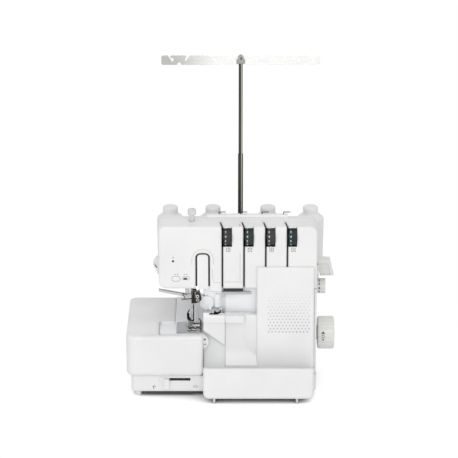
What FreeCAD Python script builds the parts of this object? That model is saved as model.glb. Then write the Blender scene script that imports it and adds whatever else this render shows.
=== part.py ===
import FreeCAD, Part
import math
import operator
import os
import Sketcher

# Serger overlock machine, in millimetres.
# The origin is on the table under the middle of the machine: +X right, +Y back, +Z up.

SIZES = {
    # stand and levels
    "foot_height": 9.0,
    "foot_tip_radius": 5.0,
    "foot_top_radius": 6.5,
    "foot_inset_x": 13.0,
    "foot_inset_y": 12.0,
    "base_height": 32.0,
    "bed_height": 80.5,
    "throat_height": 83.5,
    "head_height": 119.0,
    "wall": 3.5,
    "thin_wall": 3.0,
    "seam": 0.3,
    "slide_gap": 0.5,
    "running": 0.05,
    # plan of the casing
    "head_left_reach": 131.0,
    "head_front_reach": 97.0,
    "body_right_reach": 155.5,
    "cover_right_inset": 4.5,
    "cover_side_gap": 0.6,
    "body_back_reach": 77.0,
    "front_cover_depth": 52.0,
    "roof_flat": 8.0,
    "roof_drop": 52.0,
    "head_low_corner": 14.0,
    "head_high_corner": 11.0,
    "head_right_corner": 13.0,
    "head_front_edge": 3.0,
    "case_corner": 8.0,
    # base pan
    "base_reach": 52.0,
    "base_step": 18.0,
    "base_corner": 9.0,
    "base_edge": 4.0,
    "sill_height": 8.5,
    # free arm bed and needle plate
    "bed_right_reach": 51.0,
    "bed_width": 51.5,
    "arm_length": 80.0,
    "arm_step": 4.0,
    "arm_depth": 52.0,
    "arm_corner": 6.0,
    "bed_setback": 4.0,
    "plate_thickness": 4.5,
    "plate_side": 2.0,
    "plate_width": 47.0,
    "plate_edge": 3.0,
    "bed_mouth_edge": 4.5,
    "looper_window_rise": 22.5,
    # extension table
    "table_overhang": 8.0,
    "table_proud": 10.0,
    "table_front_wall": 13.5,
    "table_corner": 14.0,
    "table_top_edge": 4.0,
    "table_low_edge": 11.0,
    # waste tray
    "tray_depth": 34.5,
    "tray_right_inset": 1.0,
    "tray_rim": 62.5,
    "tray_back_rim": 39.0,
    "tray_wall": 2.5,
    "tray_corner": 11.0,
    "tray_front_edge": 4.0,
    "tray_rib_height": 8.0,
    "tray_rib_width": 4.0,
    "tray_rib_length": 22.0,
    "tray_rib_inset_left": 18.0,
    "tray_rib_inset_right": 32.0,
    # looper cover
    "panel_width": 105.0,
    "panel_proud": 16.0,
    "panel_lap": 43.0,
    "panel_lean": 9.5,
    "panel_corner": 5.0,
    "cover_lift": 6.5,
    "shroud_rise": 34.5,
    "shroud_proud": 1.0,
    "shroud_back": 8.0,
    "skirt_inset": 1.0,
    "skirt_edge": 5.0,
    "skirt_knee": 2.5,
    "skirt_knee_rise": 26.0,
    "skirt_height": 52.0,
    "skirt_round": 40.0,
    "shroud_flat": 31.0,
    "shroud_sweep": 14.0,
    "ledge_height": 14.0,
    "ledge_proud": 10.0,
    "ledge_width": 36.0,
    "hinge_rise": 10.0,
    "hinge_ear": 10.0,
    "hinge_back": 10.0,
    "hinge_pin_radius": 2.5,
    "hinge_barrel_radius": 5.0,
    "hinge_barrel_length": 20.0,
    "hinge_barrel_inset": 6.0,
    "hinge_arm_width": 6.0,
    "hinge_post_back": 21.0,
    # knife cover and chute
    "knife_cover_depth": 15.0,
    "knife_cover_left_low": 30.0,
    "knife_cover_right_low": 59.0,
    "chute_thickness": 2.5,
    "chute_strip": 30.0,
    "chute_top_drop": 30.0,
    "chute_bend_drop": 56.0,
    "chute_back": 6.0,
    "chute_bend_back": 1.0,
    # head front cover
    "slot_first": 15.8,
    "slot_pitch": 39.1,
    "slot_half": 1.6,
    "slot_roof": 25.5,
    "slot_lean": 4.0,
    "window_left": 1.5,
    "window_right": 17.2,
    "window_low": 1.0,
    "window_back": 0.5,
    "take_up_left": 64.6,
    "take_up_width": 26.3,
    "take_up_top": 50.0,
    "take_up_gap": 3.3,
    "take_up_round": 9.0,
    "lip_drop": 6.0,
    "mouth_left": 92.0,
    "mouth_right": 36.0,
    "mouth_front": 5.0,
    "mouth_back": 49.0,
    "channel_plate": 2.0,
    "channel_plate_height": 75.0,
    "channel_tab": 5.8,
    "channel_plate_side": 4.4,
    # tension units
    "dial_radius": 17.5,
    "dial_depth": 13.5,
    "dial_drop": 21.5,
    "dial_left": 2.2,
    "dial_width": 14.3,
    "dial_flute": 0.8,
    "stud_radius": 3.0,
    "stud_left": 6.0,
    "stud_right": 19.0,
    "disc_radius": 11.0,
    "disc_inner": 0.4,
    "disc_outer": 1.5,
    # roof rail and hooks
    "rail_height": 5.0,
    "rail_depth": 7.0,
    "rail_left": 44.0,
    "rail_right": 2.0,
    "hook_radius": 0.8,
    "hook_height": 4.0,
    "hook_length": 12.0,
    "hook_shift": 6.0,
    # thread cutter
    "cutter_reach": 11.0,
    "cutter_low": 11.0,
    "cutter_height": 36.0,
    "cutter_depth": 12.0,
    "cutter_back": 34.0,
    "cutter_top_reach": 5.5,
    "cutter_slit": 1.6,
    "cutter_slit_rise": 24.0,
    "cutter_slit_root": 3.7,
    # needle and presser
    "needle_inset": 10.0,
    "needle_depth": 22.0,
    "bar_spread_x": 10.0,
    "bar_spread_y": 18.0,
    "bar_radius": 3.2,
    "bar_top_drop": 24.0,
    "clamp_top_drop": 9.0,
    "clamp_height": 27.0,
    "clamp_width": 20.0,
    "clamp_depth": 13.0,
    "clamp_foot_left": 7.0,
    "clamp_foot_right": 6.0,
    "clamp_foot_depth": 9.0,
    "needle_radius": 0.55,
    "needle_length": 36.0,
    "needle_point": 3.3,
    "needle_pitch": 3.0,
    "sole_lift": 1.1,
    "sole_thickness": 2.5,
    "sole_width": 32.0,
    "sole_length": 40.0,
    "shank_height": 27.0,
    "shank_width": 14.0,
    "shank_depth": 12.0,
    "needle_slot_width": 10.0,
    "needle_slot_length": 6.0,
    "bush_radius": 6.0,
    # presser lever and pressure knob
    "lever_pivot_shift": 9.0,
    "lever_pivot_drop": 24.0,
    "lever_reach": 52.0,
    "lever_rise": 11.0,
    "lever_thickness": 5.0,
    "lever_width": 7.0,
    "lever_hub": 5.5,
    "lever_pin": 2.5,
    "lever_post": 8.0,
    "knob_radius": 7.5,
    "knob_height": 10.0,
    "knob_round": 2.0,
    "knob_stem_radius": 4.5,
    "knob_stem_height": 12.0,
    "knob_root": 9.0,
    # feed dogs and knives
    "dog_width": 4.0,
    "dog_pitch": 8.0,
    "dog_length": 20.0,
    "dog_proud": 0.8,
    "dog_clear": 2.2,
    "dog_base_drop": 11.5,
    "dog_base": 2.0,
    "dog_bar": 4.0,
    "dog_bar_width": 6.0,
    "knife_thickness": 1.2,
    "knife_gap": 0.3,
    "knife_length": 18.0,
    "lower_knife_height": 14.0,
    "upper_knife_bite": 9.0,
    "knife_arm_rise": 24.5,
    "knife_arm_height": 6.0,
    "knife_arm_length": 32.0,
    "knife_arm_depth": 9.0,
    "knife_pivot_back": 17.0,
    "knife_pin_radius": 2.5,
    "knife_hub_radius": 4.0,
    "knife_hub_length": 14.0,
    "knife_hub_shift": 15.0,
    "knife_ear": 4.0,
    # loopers
    "lower_looper_x": 18.0,
    "lower_looper_rise": 21.0,
    "lower_looper_arm": 34.0,
    "lower_looper_blade": 30.0,
    "lower_looper_tip": 5.0,
    "lower_looper_y": 3.5,
    "upper_looper_x": 30.0,
    "upper_looper_rise": 29.0,
    "upper_looper_arm": 29.0,
    "upper_looper_blade": 28.0,
    "upper_looper_tip": 10.0,
    "upper_looper_y": 11.5,
    "looper_plate": 3.0,
    "looper_width": 6.0,
    "looper_hub": 6.0,
    "looper_hub_length": 7.0,
    "looper_pin": 3.0,
    # throat panel
    "throat_plate": 3.0,
    "throat_left_step": 5.0,
    "throat_bend_x": 36.0,
    "throat_bend_y": 9.0,
    "throat_swell_x": 41.0,
    "throat_swell_y": 29.0,
    "throat_front_y": 41.0,
    "boss_radius": 13.0,
    "boss_x": 7.0,
    "boss_rise": 40.0,
    "boss_length": 3.0,
    "air_tube_x": 26.0,
    "air_tube_radius": 7.0,
    "air_tube_height": 25.0,
    # main frame
    "frame_plate": 6.0,
    "frame_left_x": 9.0,
    "frame_left_wall": 8.0,
    "frame_left_rise": 69.0,
    "frame_right_inset": 20.5,
    "frame_right_wall": 10.0,
    "frame_back_inset": 14.0,
    "frame_cross_y": 6.0,
    "frame_cross_right": 71.0,
    "arm_plate_rise": 38.0,
    "arm_plate": 12.0,
    "arm_plate_front": 15.0,
    "bar_block_side": 9.0,
    "bracket_height": 12.0,
    "bracket_depth": 6.0,
    "ear_width": 4.0,
    # shaft, pulleys and motor
    "shaft_back": 20.0,
    "shaft_rise": 49.0,
    "shaft_radius": 6.0,
    "bearing_radius": 10.0,
    "wheel_radius": 30.5,
    "wheel_gap": 4.5,
    "wheel_width": 31.0,
    "wheel_hub": 13.0,
    "wheel_flute": 2.2,
    "wheel_edge": 4.0,
    "drive_pulley_radius": 32.0,
    "motor_pulley_radius": 9.0,
    "pulley_width": 12.0,
    "pulley_inset": 43.5,
    "pulley_groove": 2.5,
    "belt_width": 7.0,
    "belt_thickness": 2.0,
    "motor_radius": 28.0,
    "motor_length": 66.0,
    "motor_back": 38.0,
    "motor_rise": 70.0,
    "motor_shaft_radius": 3.0,
    "motor_plate": 4.0,
    "motor_gap": 2.0,
    # side controls
    "length_dial_radius": 14.0,
    "length_dial_gap": 2.5,
    "length_dial_width": 15.5,
    "length_dial_rise": 93.0,
    "length_dial_shaft": 4.0,
    "air_lever_rise": 16.5,
    "air_lever_depth": 20.0,
    "air_lever_pivot": 12.5,
    "air_lever_pin": 2.5,
    "air_lever_hub": 5.5,
    "air_dish_rim": 3.0,
    "air_dish_depth": 2.5,
    "air_block_gap": 1.0,
    "air_block_width": 32.0,
    "air_block_top": 16.0,
    "air_block_low": 16.0,
    "air_block_slant": 7.0,
    "air_block_lean": 1.0,
    "air_ear": 3.5,
    "inlet_width": 24.0,
    "inlet_height": 22.0,
    "inlet_depth": 14.5,
    "inlet_wall": 3.0,
    "inlet_rise": 9.0,
    "inlet_back": 5.0,
    "switch_width": 15.0,
    "switch_height": 23.0,
    "switch_rise": 47.0,
    "switch_back": 14.5,
    "switch_pivot": 2.0,
    "switch_proud": 3.5,
    "switch_depth": 3.0,
    "switch_clear": 1.5,
    "switch_stub": 0.3,
    "switch_stub_radius": 1.2,
    "lamp_width": 22.0,
    "lamp_depth": 16.0,
    "lamp_height": 2.0,
    "lamp_right": 8.0,
    "lamp_front": 6.0,
    # threading selector and width dial
    "selector_left": 53.5,
    "selector_slot": 55.0,
    "selector_slot_low": 22.0,
    "selector_slot_high": 27.7,
    "selector_stem": 6.0,
    "selector_start": 8.0,
    "selector_knob_width": 10.0,
    "selector_knob_drop": 15.0,
    "selector_knob_depth": 6.0,
    "selector_plate": 2.0,
    "width_dial_radius": 14.0,
    "width_dial_depth": 8.5,
    "width_dial_inset": 4.0,
    "width_dial_rise": 65.0,
    "width_dial_shaft": 3.0,
    # spool stand and cone holders
    "stand_top_rise": 44.5,
    "stand_thickness": 8.0,
    "stand_depth": 73.0,
    "stand_half": 148.0,
    "stand_corner": 20.0,
    "mast_x": 17.7,
    "spool_row": 41.0,
    "spool_inner": 51.9,
    "spool_outer": 132.4,
    "spool_pin_radius": 3.0,
    "spool_pin_height": 112.0,
    "cone_height": 122.0,
    "cone_low_radius": 24.4,
    "cone_high_radius": 25.4,
    "cone_neck_radius": 14.3,
    "cone_neck_height": 13.0,
    "cone_shoulder": 9.0,
    "cone_shoulder_round": 7.0,
    "cone_neck_round": 3.0,
    "cone_wall": 2.5,
    "cone_cap": 3.0,
    # mast
    "mast_lower_radius": 4.8,
    "mast_bore_radius": 3.9,
    "mast_upper_radius": 3.8,
    "mast_lower_length": 226.0,
    "mast_upper_visible": 178.0,
    "mast_overlap": 20.0,
    "mast_collar_radius": 9.0,
    "mast_collar_height": 12.0,
    "guide_half": 146.8,
    "guide_height": 18.0,
    "guide_thickness": 1.6,
    "guide_drop": 6.5,
    "guide_notch_pitch": 40.4,
    "guide_slot": 2.0,
    "guide_slot_depth": 10.0,
    "guide_eye": 2.2,
    "cap_half": 7.4,
    "cap_height": 14.0,
    "cap_depth": 9.0,
    # screws
    "screw_head_radius": 3.5,
    "screw_head": 1.6,
    "screw_radius": 1.75,
    "screw_length": 8.0,
    "screw_inset": 18.0,
}
DIAL_FLUTES = 36
WHEEL_FLUTES = 20
KNOB_FLUTES = 16
DIALS = range(4)
GUIDE_NOTCHES = (-3, -1, 1, 3)
TOUCH = 0.01
LEAST_SLOPE = 1.0
OPERATIONS = {"+": operator.add, "-": operator.sub, "*": operator.mul, "/": operator.truediv}


class Size:
    """A length that carries its value and the sheet expression that gives it."""

    def __init__(self, value, text):
        self.value = value
        self.text = text

    def __add__(self, other):
        return joined(self, "+", other)

    def __radd__(self, other):
        return joined(other, "+", self)

    def __sub__(self, other):
        return joined(self, "-", other)

    def __rsub__(self, other):
        return joined(other, "-", self)

    def __mul__(self, other):
        return joined(self, "*", other)

    def __rmul__(self, other):
        return joined(other, "*", self)

    def __truediv__(self, other):
        return joined(self, "/", other)

    def __neg__(self):
        return joined(0.0, "-", self)


def as_size(number):
    return number if isinstance(number, Size) else Size(float(number), f"({float(number)})")


def joined(left, sign, right):
    left = as_size(left)
    right = as_size(right)
    return Size(OPERATIONS[sign](left.value, right.value), f"({left.text} {sign} {right.text})")


class Sizes:
    """The driving dimensions, by name."""

    def __init__(self, table):
        for name, value in table.items():
            setattr(self, name, Size(value, f"Sizes.{name}"))


doc = FreeCAD.newDocument("Serger")
sheet = doc.addObject("Spreadsheet::Sheet", "Sizes")
for row, (name, value) in enumerate(SIZES.items(), start=1):
    sheet.set(f"A{row}", name)
    sheet.set(f"B{row}", str(value))
    sheet.setAlias(f"B{row}", name)
doc.recompute()
S = Sizes(SIZES)

TURNS = {
    "x": FreeCAD.Rotation(FreeCAD.Vector(0, 1, 0), 90),
    "y": FreeCAD.Rotation(FreeCAD.Vector(1, 0, 0), -90),
    "z": FreeCAD.Rotation(),
}
PLANES = {"xy": "XY_Plane", "xz": "XZ_Plane", "yz": "YZ_Plane"}


def bind(piece, property_name, size):
    piece.setExpression(property_name, as_size(size).text)


def place(piece, axis, x, y, z):
    piece.Placement = FreeCAD.Placement(FreeCAD.Vector(), TURNS[axis])
    for letter, size in zip("xyz", (x, y, z)):
        bind(piece, f"Placement.Base.{letter}", size)


def box(x0, x1, y0, y1, z0, z1):
    piece = doc.addObject("Part::Box", "Box")
    bind(piece, "Length", x1 - x0)
    bind(piece, "Width", y1 - y0)
    bind(piece, "Height", z1 - z0)
    place(piece, "z", x0, y0, z0)
    return piece


def rod(axis, start, end, first, second, radius):
    """A cylinder along one axis; first and second are its other two coordinates in x, y, z order."""
    piece = doc.addObject("Part::Cylinder", "Rod")
    bind(piece, "Radius", radius)
    bind(piece, "Height", end - start)
    spots = {"x": (start, first, second), "y": (first, start, second), "z": (first, second, start)}
    place(piece, axis, *spots[axis])
    return piece


def tube(axis, start, end, first, second, radius, bore):
    return cut(rod(axis, start, end, first, second, radius), rod(axis, start, end, first, second, bore))


def body_plane(body, role):
    return [item for item in body.Origin.OriginFeatures if item.Role == role][0]


def draw(body, plane, points):
    """A closed outline of straight lines whose corners are bound to the sheet."""
    sketch = body.newObject("Sketcher::SketchObject", "Outline")
    sketch.AttachmentSupport = [(body_plane(body, PLANES[plane]), "")]
    sketch.MapMode = "FlatFace"
    points = [(as_size(a), as_size(b)) for a, b in points]
    spots = [FreeCAD.Vector(a.value, b.value, 0) for a, b in points]
    count = len(points)
    for i in range(count):
        sketch.addGeometry(Part.LineSegment(spots[i], spots[(i + 1) % count]), False)
    for i in range(count):
        sketch.addConstraint(Sketcher.Constraint("Coincident", i, 2, (i + 1) % count, 1))
    for i, pair in enumerate(points):
        for kind, size in zip(("DistanceX", "DistanceY"), pair):
            index = sketch.addConstraint(Sketcher.Constraint(kind, -1, 1, i, 1, size.value))
            sketch.setExpression(f"Constraints[{index}]", size.text)
    return sketch


def pad(plane, points, low, high, rounds=()):
    """An outline in one plane, raised from low to high along the third axis.

    rounds holds (radius, corner numbers) pairs for the upright edges.
    """
    body = doc.addObject("PartDesign::Body", "Body")
    sketch = draw(body, plane, points)
    feature = body.newObject("PartDesign::Pad", "Pad")
    feature.Profile = sketch
    bind(feature, "Length", high - low)
    if plane == "xz":
        bind(sketch, "AttachmentOffset.Base.z", -as_size(low))
        feature.Reversed = True
    else:
        bind(sketch, "AttachmentOffset.Base.z", low)
    doc.recompute()
    for radius, corners in rounds:
        round_edges(body, radius, *[lies_on(**dict(zip(plane, points[i]))) for i in corners])
    return body


def near(a, b):
    return abs(a - b) < TOUCH


def stays_at(bounds, levels):
    """Whether an edge's box is flat at each of the given levels."""
    ends = {
        "x": (bounds.XMin, bounds.XMax),
        "y": (bounds.YMin, bounds.YMax),
        "z": (bounds.ZMin, bounds.ZMax),
    }
    return all(near(end, value) for letter, value in levels.items() for end in ends[letter])


def lies_on(**levels):
    """A test for edges that lie at the given x, y and z."""
    wanted = {letter: as_size(size).value for letter, size in levels.items()}
    return lambda bounds: stays_at(bounds, wanted)


def round_edges(body, radius, *tests):
    """Fillet the edges of a body that pass any of the tests."""
    base = body.Tip
    edges = enumerate(base.Shape.Edges, start=1)
    picked = [i for i, edge in edges if any(test(edge.BoundBox) for test in tests)]
    if not picked:
        raise RuntimeError(f"no edge to round on {body.Label}")
    feature = body.newObject("PartDesign::Fillet", "Fillet")
    feature.Base = (base, [f"Edge{i}" for i in picked])
    bind(feature, "Radius", radius)
    doc.recompute()


def turned(profile, axis, x, y, z):
    """A profile of (radius, height) points turned about its own axis, which then points along axis."""
    body = doc.addObject("PartDesign::Body", "Turned")
    sketch = draw(body, "xz", profile)
    feature = body.newObject("PartDesign::Revolution", "Revolution")
    feature.Profile = sketch
    feature.ReferenceAxis = (sketch, ["V_Axis"])
    feature.Angle = 360
    place(body, axis, x, y, z)
    doc.recompute()
    return body


def fluted(body, count, flute_radius, at_radius, low, high):
    """Grooves along the axis, evenly spaced round a turned body."""
    groove = body.newObject("PartDesign::SubtractiveCylinder", "Flute")
    bind(groove, "Radius", flute_radius)
    bind(groove, "Height", high - low)
    bind(groove, "Placement.Base.x", at_radius)
    bind(groove, "Placement.Base.z", low)
    doc.recompute()
    pattern = body.newObject("PartDesign::PolarPattern", "Flutes")
    pattern.Originals = [groove]
    pattern.Axis = (body_plane(body, "Z_Axis"), [""])
    pattern.Angle = 360
    pattern.Occurrences = count
    body.Tip = pattern
    doc.recompute()
    return body


def fuse(*pieces):
    piece = doc.addObject("Part::MultiFuse", "Fuse")
    piece.Shapes = list(pieces)
    piece.Refine = True
    return piece


def cut(base, *tools):
    piece = doc.addObject("Part::Cut", "Cut")
    piece.Base = base
    piece.Tool = tools[0] if len(tools) == 1 else fuse(*tools)
    return piece


def group(*pieces):
    piece = doc.addObject("Part::Compound", "Group")
    piece.Links = list(pieces)
    return piece


# levels and planes shared by the pieces
base_low = S.foot_height
base_top = base_low + S.base_height
pan_floor = base_low + S.wall
bed_top = base_top + S.bed_height
head_low = bed_top + S.throat_height
head_top = head_low + S.head_height
head_left = -S.head_left_reach
head_front = -S.head_front_reach
right = S.body_right_reach
cover_right = right - S.cover_right_inset
back = S.body_back_reach
split = head_front + S.front_cover_depth
roof_break = split + S.roof_flat
rear_top = head_top - S.roof_drop
base_left = head_left - S.base_reach
base_front = head_front - S.base_step
bed_right = -S.bed_right_reach
bed_left = bed_right - S.bed_width
arm_left = bed_right - S.arm_length
arm_front = head_front - S.arm_step
arm_back = arm_front + S.arm_depth
arm_top = bed_top - S.plate_thickness
bed_back = back - S.bed_setback
column_left = bed_right + S.seam
inner_front = head_front + S.wall
inner_right = right - S.wall
panel_left = cover_right - S.panel_width
panel_front = head_front - S.panel_proud
panel_back = head_front - S.slide_gap
sill_top = base_top + S.sill_height
cover_low = sill_top + S.cover_lift
cover_top = head_low + S.panel_lap
hinge_z = cover_low + S.hinge_rise
hinge_y = panel_front + S.hinge_back
shroud_top = bed_top + S.shroud_rise
shroud_left = bed_right + S.seam + S.knife_arm_length + S.throat_plate + S.throat_left_step
needle_x = bed_right - S.needle_inset
needle_y = arm_front + S.needle_depth
presser_x = needle_x - S.bar_spread_x
presser_y = needle_y + S.bar_spread_y
bar_top = head_top - S.bar_top_drop
clamp_top = head_low - S.clamp_top_drop
clamp_low = clamp_top - S.clamp_height
sole_low = bed_top + S.sole_lift
shank_top = sole_low + S.sole_thickness + S.shank_height
shaft_y = split + S.shaft_back
shaft_z = base_top + S.shaft_rise
motor_z = shaft_z + S.motor_rise
frame_left = column_left + S.frame_left_x
frame_right = right - S.frame_right_inset
frame_back = back - S.frame_back_inset
motor_y = frame_back - S.motor_back
frame_low = pan_floor
frame_top = frame_low + S.frame_plate
arm_plate_low = head_low + S.arm_plate_rise
arm_plate_top = arm_plate_low + S.arm_plate
arm_plate_front = split - S.arm_plate_front
cross_front = split - 2 * S.frame_cross_y
dial_y = head_front + S.dial_depth
dial_z = head_top - S.dial_drop
pulley_right = right - S.pulley_inset
pulley_left = pulley_right - S.pulley_width
motor_right = pulley_left - S.motor_plate - S.motor_gap
stand_top = bed_top + S.stand_top_rise
stand_low = stand_top - S.stand_thickness
spool_y = back + S.spool_row
mast_step = stand_top + S.mast_lower_length
mast_top = mast_step + S.mast_upper_visible
slots = [-S.slot_first + S.slot_pitch * i for i in DIALS]
cone_steps = (-S.spool_outer, -S.spool_inner, S.spool_inner, S.spool_outer)
cone_spots = [S.mast_x + step for step in cone_steps]


def rectangle(a0, a1, b0, b1):
    return [(a0, b0), (a1, b0), (a1, b1), (a0, b1)]


def base_pan():
    """A shallow tub: roofed under the table, open under the column, with a slot in its front."""
    corners = [(S.base_corner, [0, 1, 2, 3])]
    shell = pad("xy", rectangle(base_left, right, base_front, back), base_low, base_top, corners)
    round_edges(shell, S.base_edge, lies_on(z=base_low))
    inside = rectangle(base_left + S.wall, inner_right, base_front + S.wall, back - S.wall)
    hollow = pad("xy", inside, pan_floor, base_top - S.wall, [(S.base_corner - S.wall, [0, 1, 2, 3])])
    inner_round = [(S.base_corner - S.wall, [1, 2])]
    mouth_box = rectangle(bed_right + S.wall, inner_right, base_front + S.wall, back - S.wall)
    mouth = pad("xy", mouth_box, base_top - 2 * S.wall, base_top + S.wall, inner_round)
    slot_left = base_left + S.selector_left
    slot = box(slot_left, slot_left + S.selector_slot, base_front - S.wall, base_front + 2 * S.wall,
               base_low + S.selector_slot_low, base_low + S.selector_slot_high)
    sill = box(bed_right + S.wall, inner_right, base_front, base_front + S.wall, base_top - S.wall, sill_top)
    return fuse(cut(shell, hollow, mouth, slot), sill)


def rubber_feet():
    feet = []
    for x in (base_left + S.foot_inset_x, right - S.foot_inset_x):
        for y in (base_front + S.foot_inset_y, back - S.foot_inset_y):
            foot = doc.addObject("Part::Cone", "Foot")
            bind(foot, "Radius1", S.foot_tip_radius)
            bind(foot, "Radius2", S.foot_top_radius)
            bind(foot, "Height", S.foot_height)
            place(foot, "z", x, y, 0.0)
            feet.append(foot)
    return group(*feet)


def free_arm_bed():
    """The hollow bed under the foot; its arm lies one plate thickness lower."""
    arm = pad("xy", rectangle(arm_left, bed_right, arm_front, arm_back), base_top, arm_top,
              [(S.arm_corner, [0, 3])])
    main = box(bed_left, bed_right, arm_back, bed_back, base_top, bed_top)
    thin = S.thin_wall
    arm_hollow = box(arm_left + thin, bed_right - thin, arm_front + thin, arm_back - thin,
                     base_top - thin, arm_top - thin)
    main_hollow = box(bed_left + thin, bed_right - thin, arm_back - 2 * thin, bed_back - thin,
                      base_top - thin, arm_top - thin)
    plate_right = bed_right - S.plate_side
    mouth = box(plate_right - S.plate_width + S.bed_mouth_edge, plate_right - S.plate_side,
                arm_front + S.bed_mouth_edge, arm_back - S.bed_mouth_edge, arm_top - 2 * thin, arm_top + thin)
    window = box(bed_right - 2 * thin, bed_right + thin, arm_front + thin, arm_back - S.bed_mouth_edge,
                 base_top + S.looper_window_rise, arm_top - thin)
    shaft_hole = rod("y", arm_front - thin, arm_front + 2 * thin, bed_right - S.width_dial_inset,
                     base_top + S.width_dial_rise, S.width_dial_shaft + S.running)
    return cut(fuse(arm, main), arm_hollow, main_hollow, mouth, window, shaft_hole)


def dog_spots():
    return [presser_x + S.dog_width + S.dog_pitch * (i - 2) for i in range(3)]


def needle_plate():
    plate_right = bed_right - S.plate_side
    outline = rectangle(plate_right - S.plate_width, plate_right,
                        arm_front + S.plate_edge, arm_back - S.plate_side)
    plate = pad("xy", outline, arm_top, bed_top, [(S.plate_edge, [0, 1, 2, 3])])
    cuts = []
    dog_front = presser_y - S.dog_length / 2 - S.dog_clear
    for x in dog_spots():
        cuts.append(box(x - S.slide_gap, x + S.dog_width + S.slide_gap, dog_front, dog_front + S.dog_length,
                        arm_top - S.wall, bed_top + S.wall))
    half = S.needle_slot_width / 2
    cuts.append(box(needle_x - half, needle_x + half, needle_y - S.needle_slot_length / 2,
                    needle_y + S.needle_slot_length / 2, arm_top - S.wall, bed_top + S.wall))
    return cut(plate, *cuts)


def extension_table():
    """A hollow table that wraps round the free arm on its front and left sides."""
    left = base_left - S.table_overhang
    front = base_front - S.table_proud
    low = base_top + S.slide_gap
    side = bed_right - S.slide_gap
    inner = front + S.table_front_wall
    points = [(left, front), (side, front), (side, inner), (arm_left - S.slide_gap, inner),
              (arm_left - S.slide_gap, arm_back + S.slide_gap), (bed_left - S.seam, arm_back + S.slide_gap),
              (bed_left - S.seam, bed_back), (left, bed_back)]
    shell = pad("xy", points, low, bed_top, [(S.table_corner, [0, 7]), (S.table_top_edge, [1])])
    round_edges(shell, S.table_low_edge, lies_on(z=low, y=front))
    round_edges(shell, S.table_top_edge, lies_on(z=bed_top, y=front), lies_on(z=bed_top, x=left))
    wall = S.thin_wall
    hollow = rectangle(left + wall, arm_left - S.slide_gap - wall, front + S.table_low_edge, bed_back - wall)
    inside = pad("xy", hollow, low - wall, bed_top - wall, [(S.table_corner - wall, [3])])
    return cut(shell, inside)


def waste_tray():
    """An open bin in front of the base; its sides slope down to a low back wall."""
    left = bed_right
    side = cover_right - S.tray_right_inset
    rear = base_front - S.slide_gap
    front = rear - S.tray_depth
    low = base_low + S.slide_gap
    rim = base_low + S.tray_rim
    back_rim = base_low + S.tray_back_rim
    wall = S.tray_wall
    profile = [(front, low), (rear, low), (rear, back_rim), (front + wall, rim), (front, rim)]
    shell = pad("yz", profile, left, side)
    round_edges(shell, S.tray_corner, lies_on(z=low, x=left), lies_on(z=low, x=side))
    round_edges(shell, S.tray_front_edge, lies_on(y=front, x=left), lies_on(y=front, x=side))
    inside = rectangle(left + wall, side - wall, front + wall, rear - wall)
    hollow = pad("xy", inside, low + wall, rim + wall, [(S.tray_front_edge, [0, 1])])
    round_edges(hollow, S.tray_corner - wall, lies_on(z=low + wall, x=left + wall),
                lies_on(z=low + wall, x=side - wall))
    ribs = []
    for x in (left + S.tray_rib_inset_left, side - S.tray_rib_inset_right):
        ribs.append(box(x, x + S.tray_rib_width, front + wall, front + wall + S.tray_rib_length,
                        low - S.tray_rib_height, low + wall / 2))
    return fuse(cut(shell, hollow), *ribs)


def hinge_arm_spots():
    """Left ends of the two hinge arms and of the barrels beside them."""
    first_barrel = panel_left + S.hinge_barrel_inset
    first_arm = first_barrel + S.hinge_barrel_length + S.slide_gap
    last_barrel = cover_right - S.wall - S.hinge_barrel_inset - S.hinge_barrel_length
    last_arm = last_barrel - S.slide_gap - S.hinge_arm_width
    return (first_arm, first_barrel), (last_arm, last_barrel)


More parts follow.
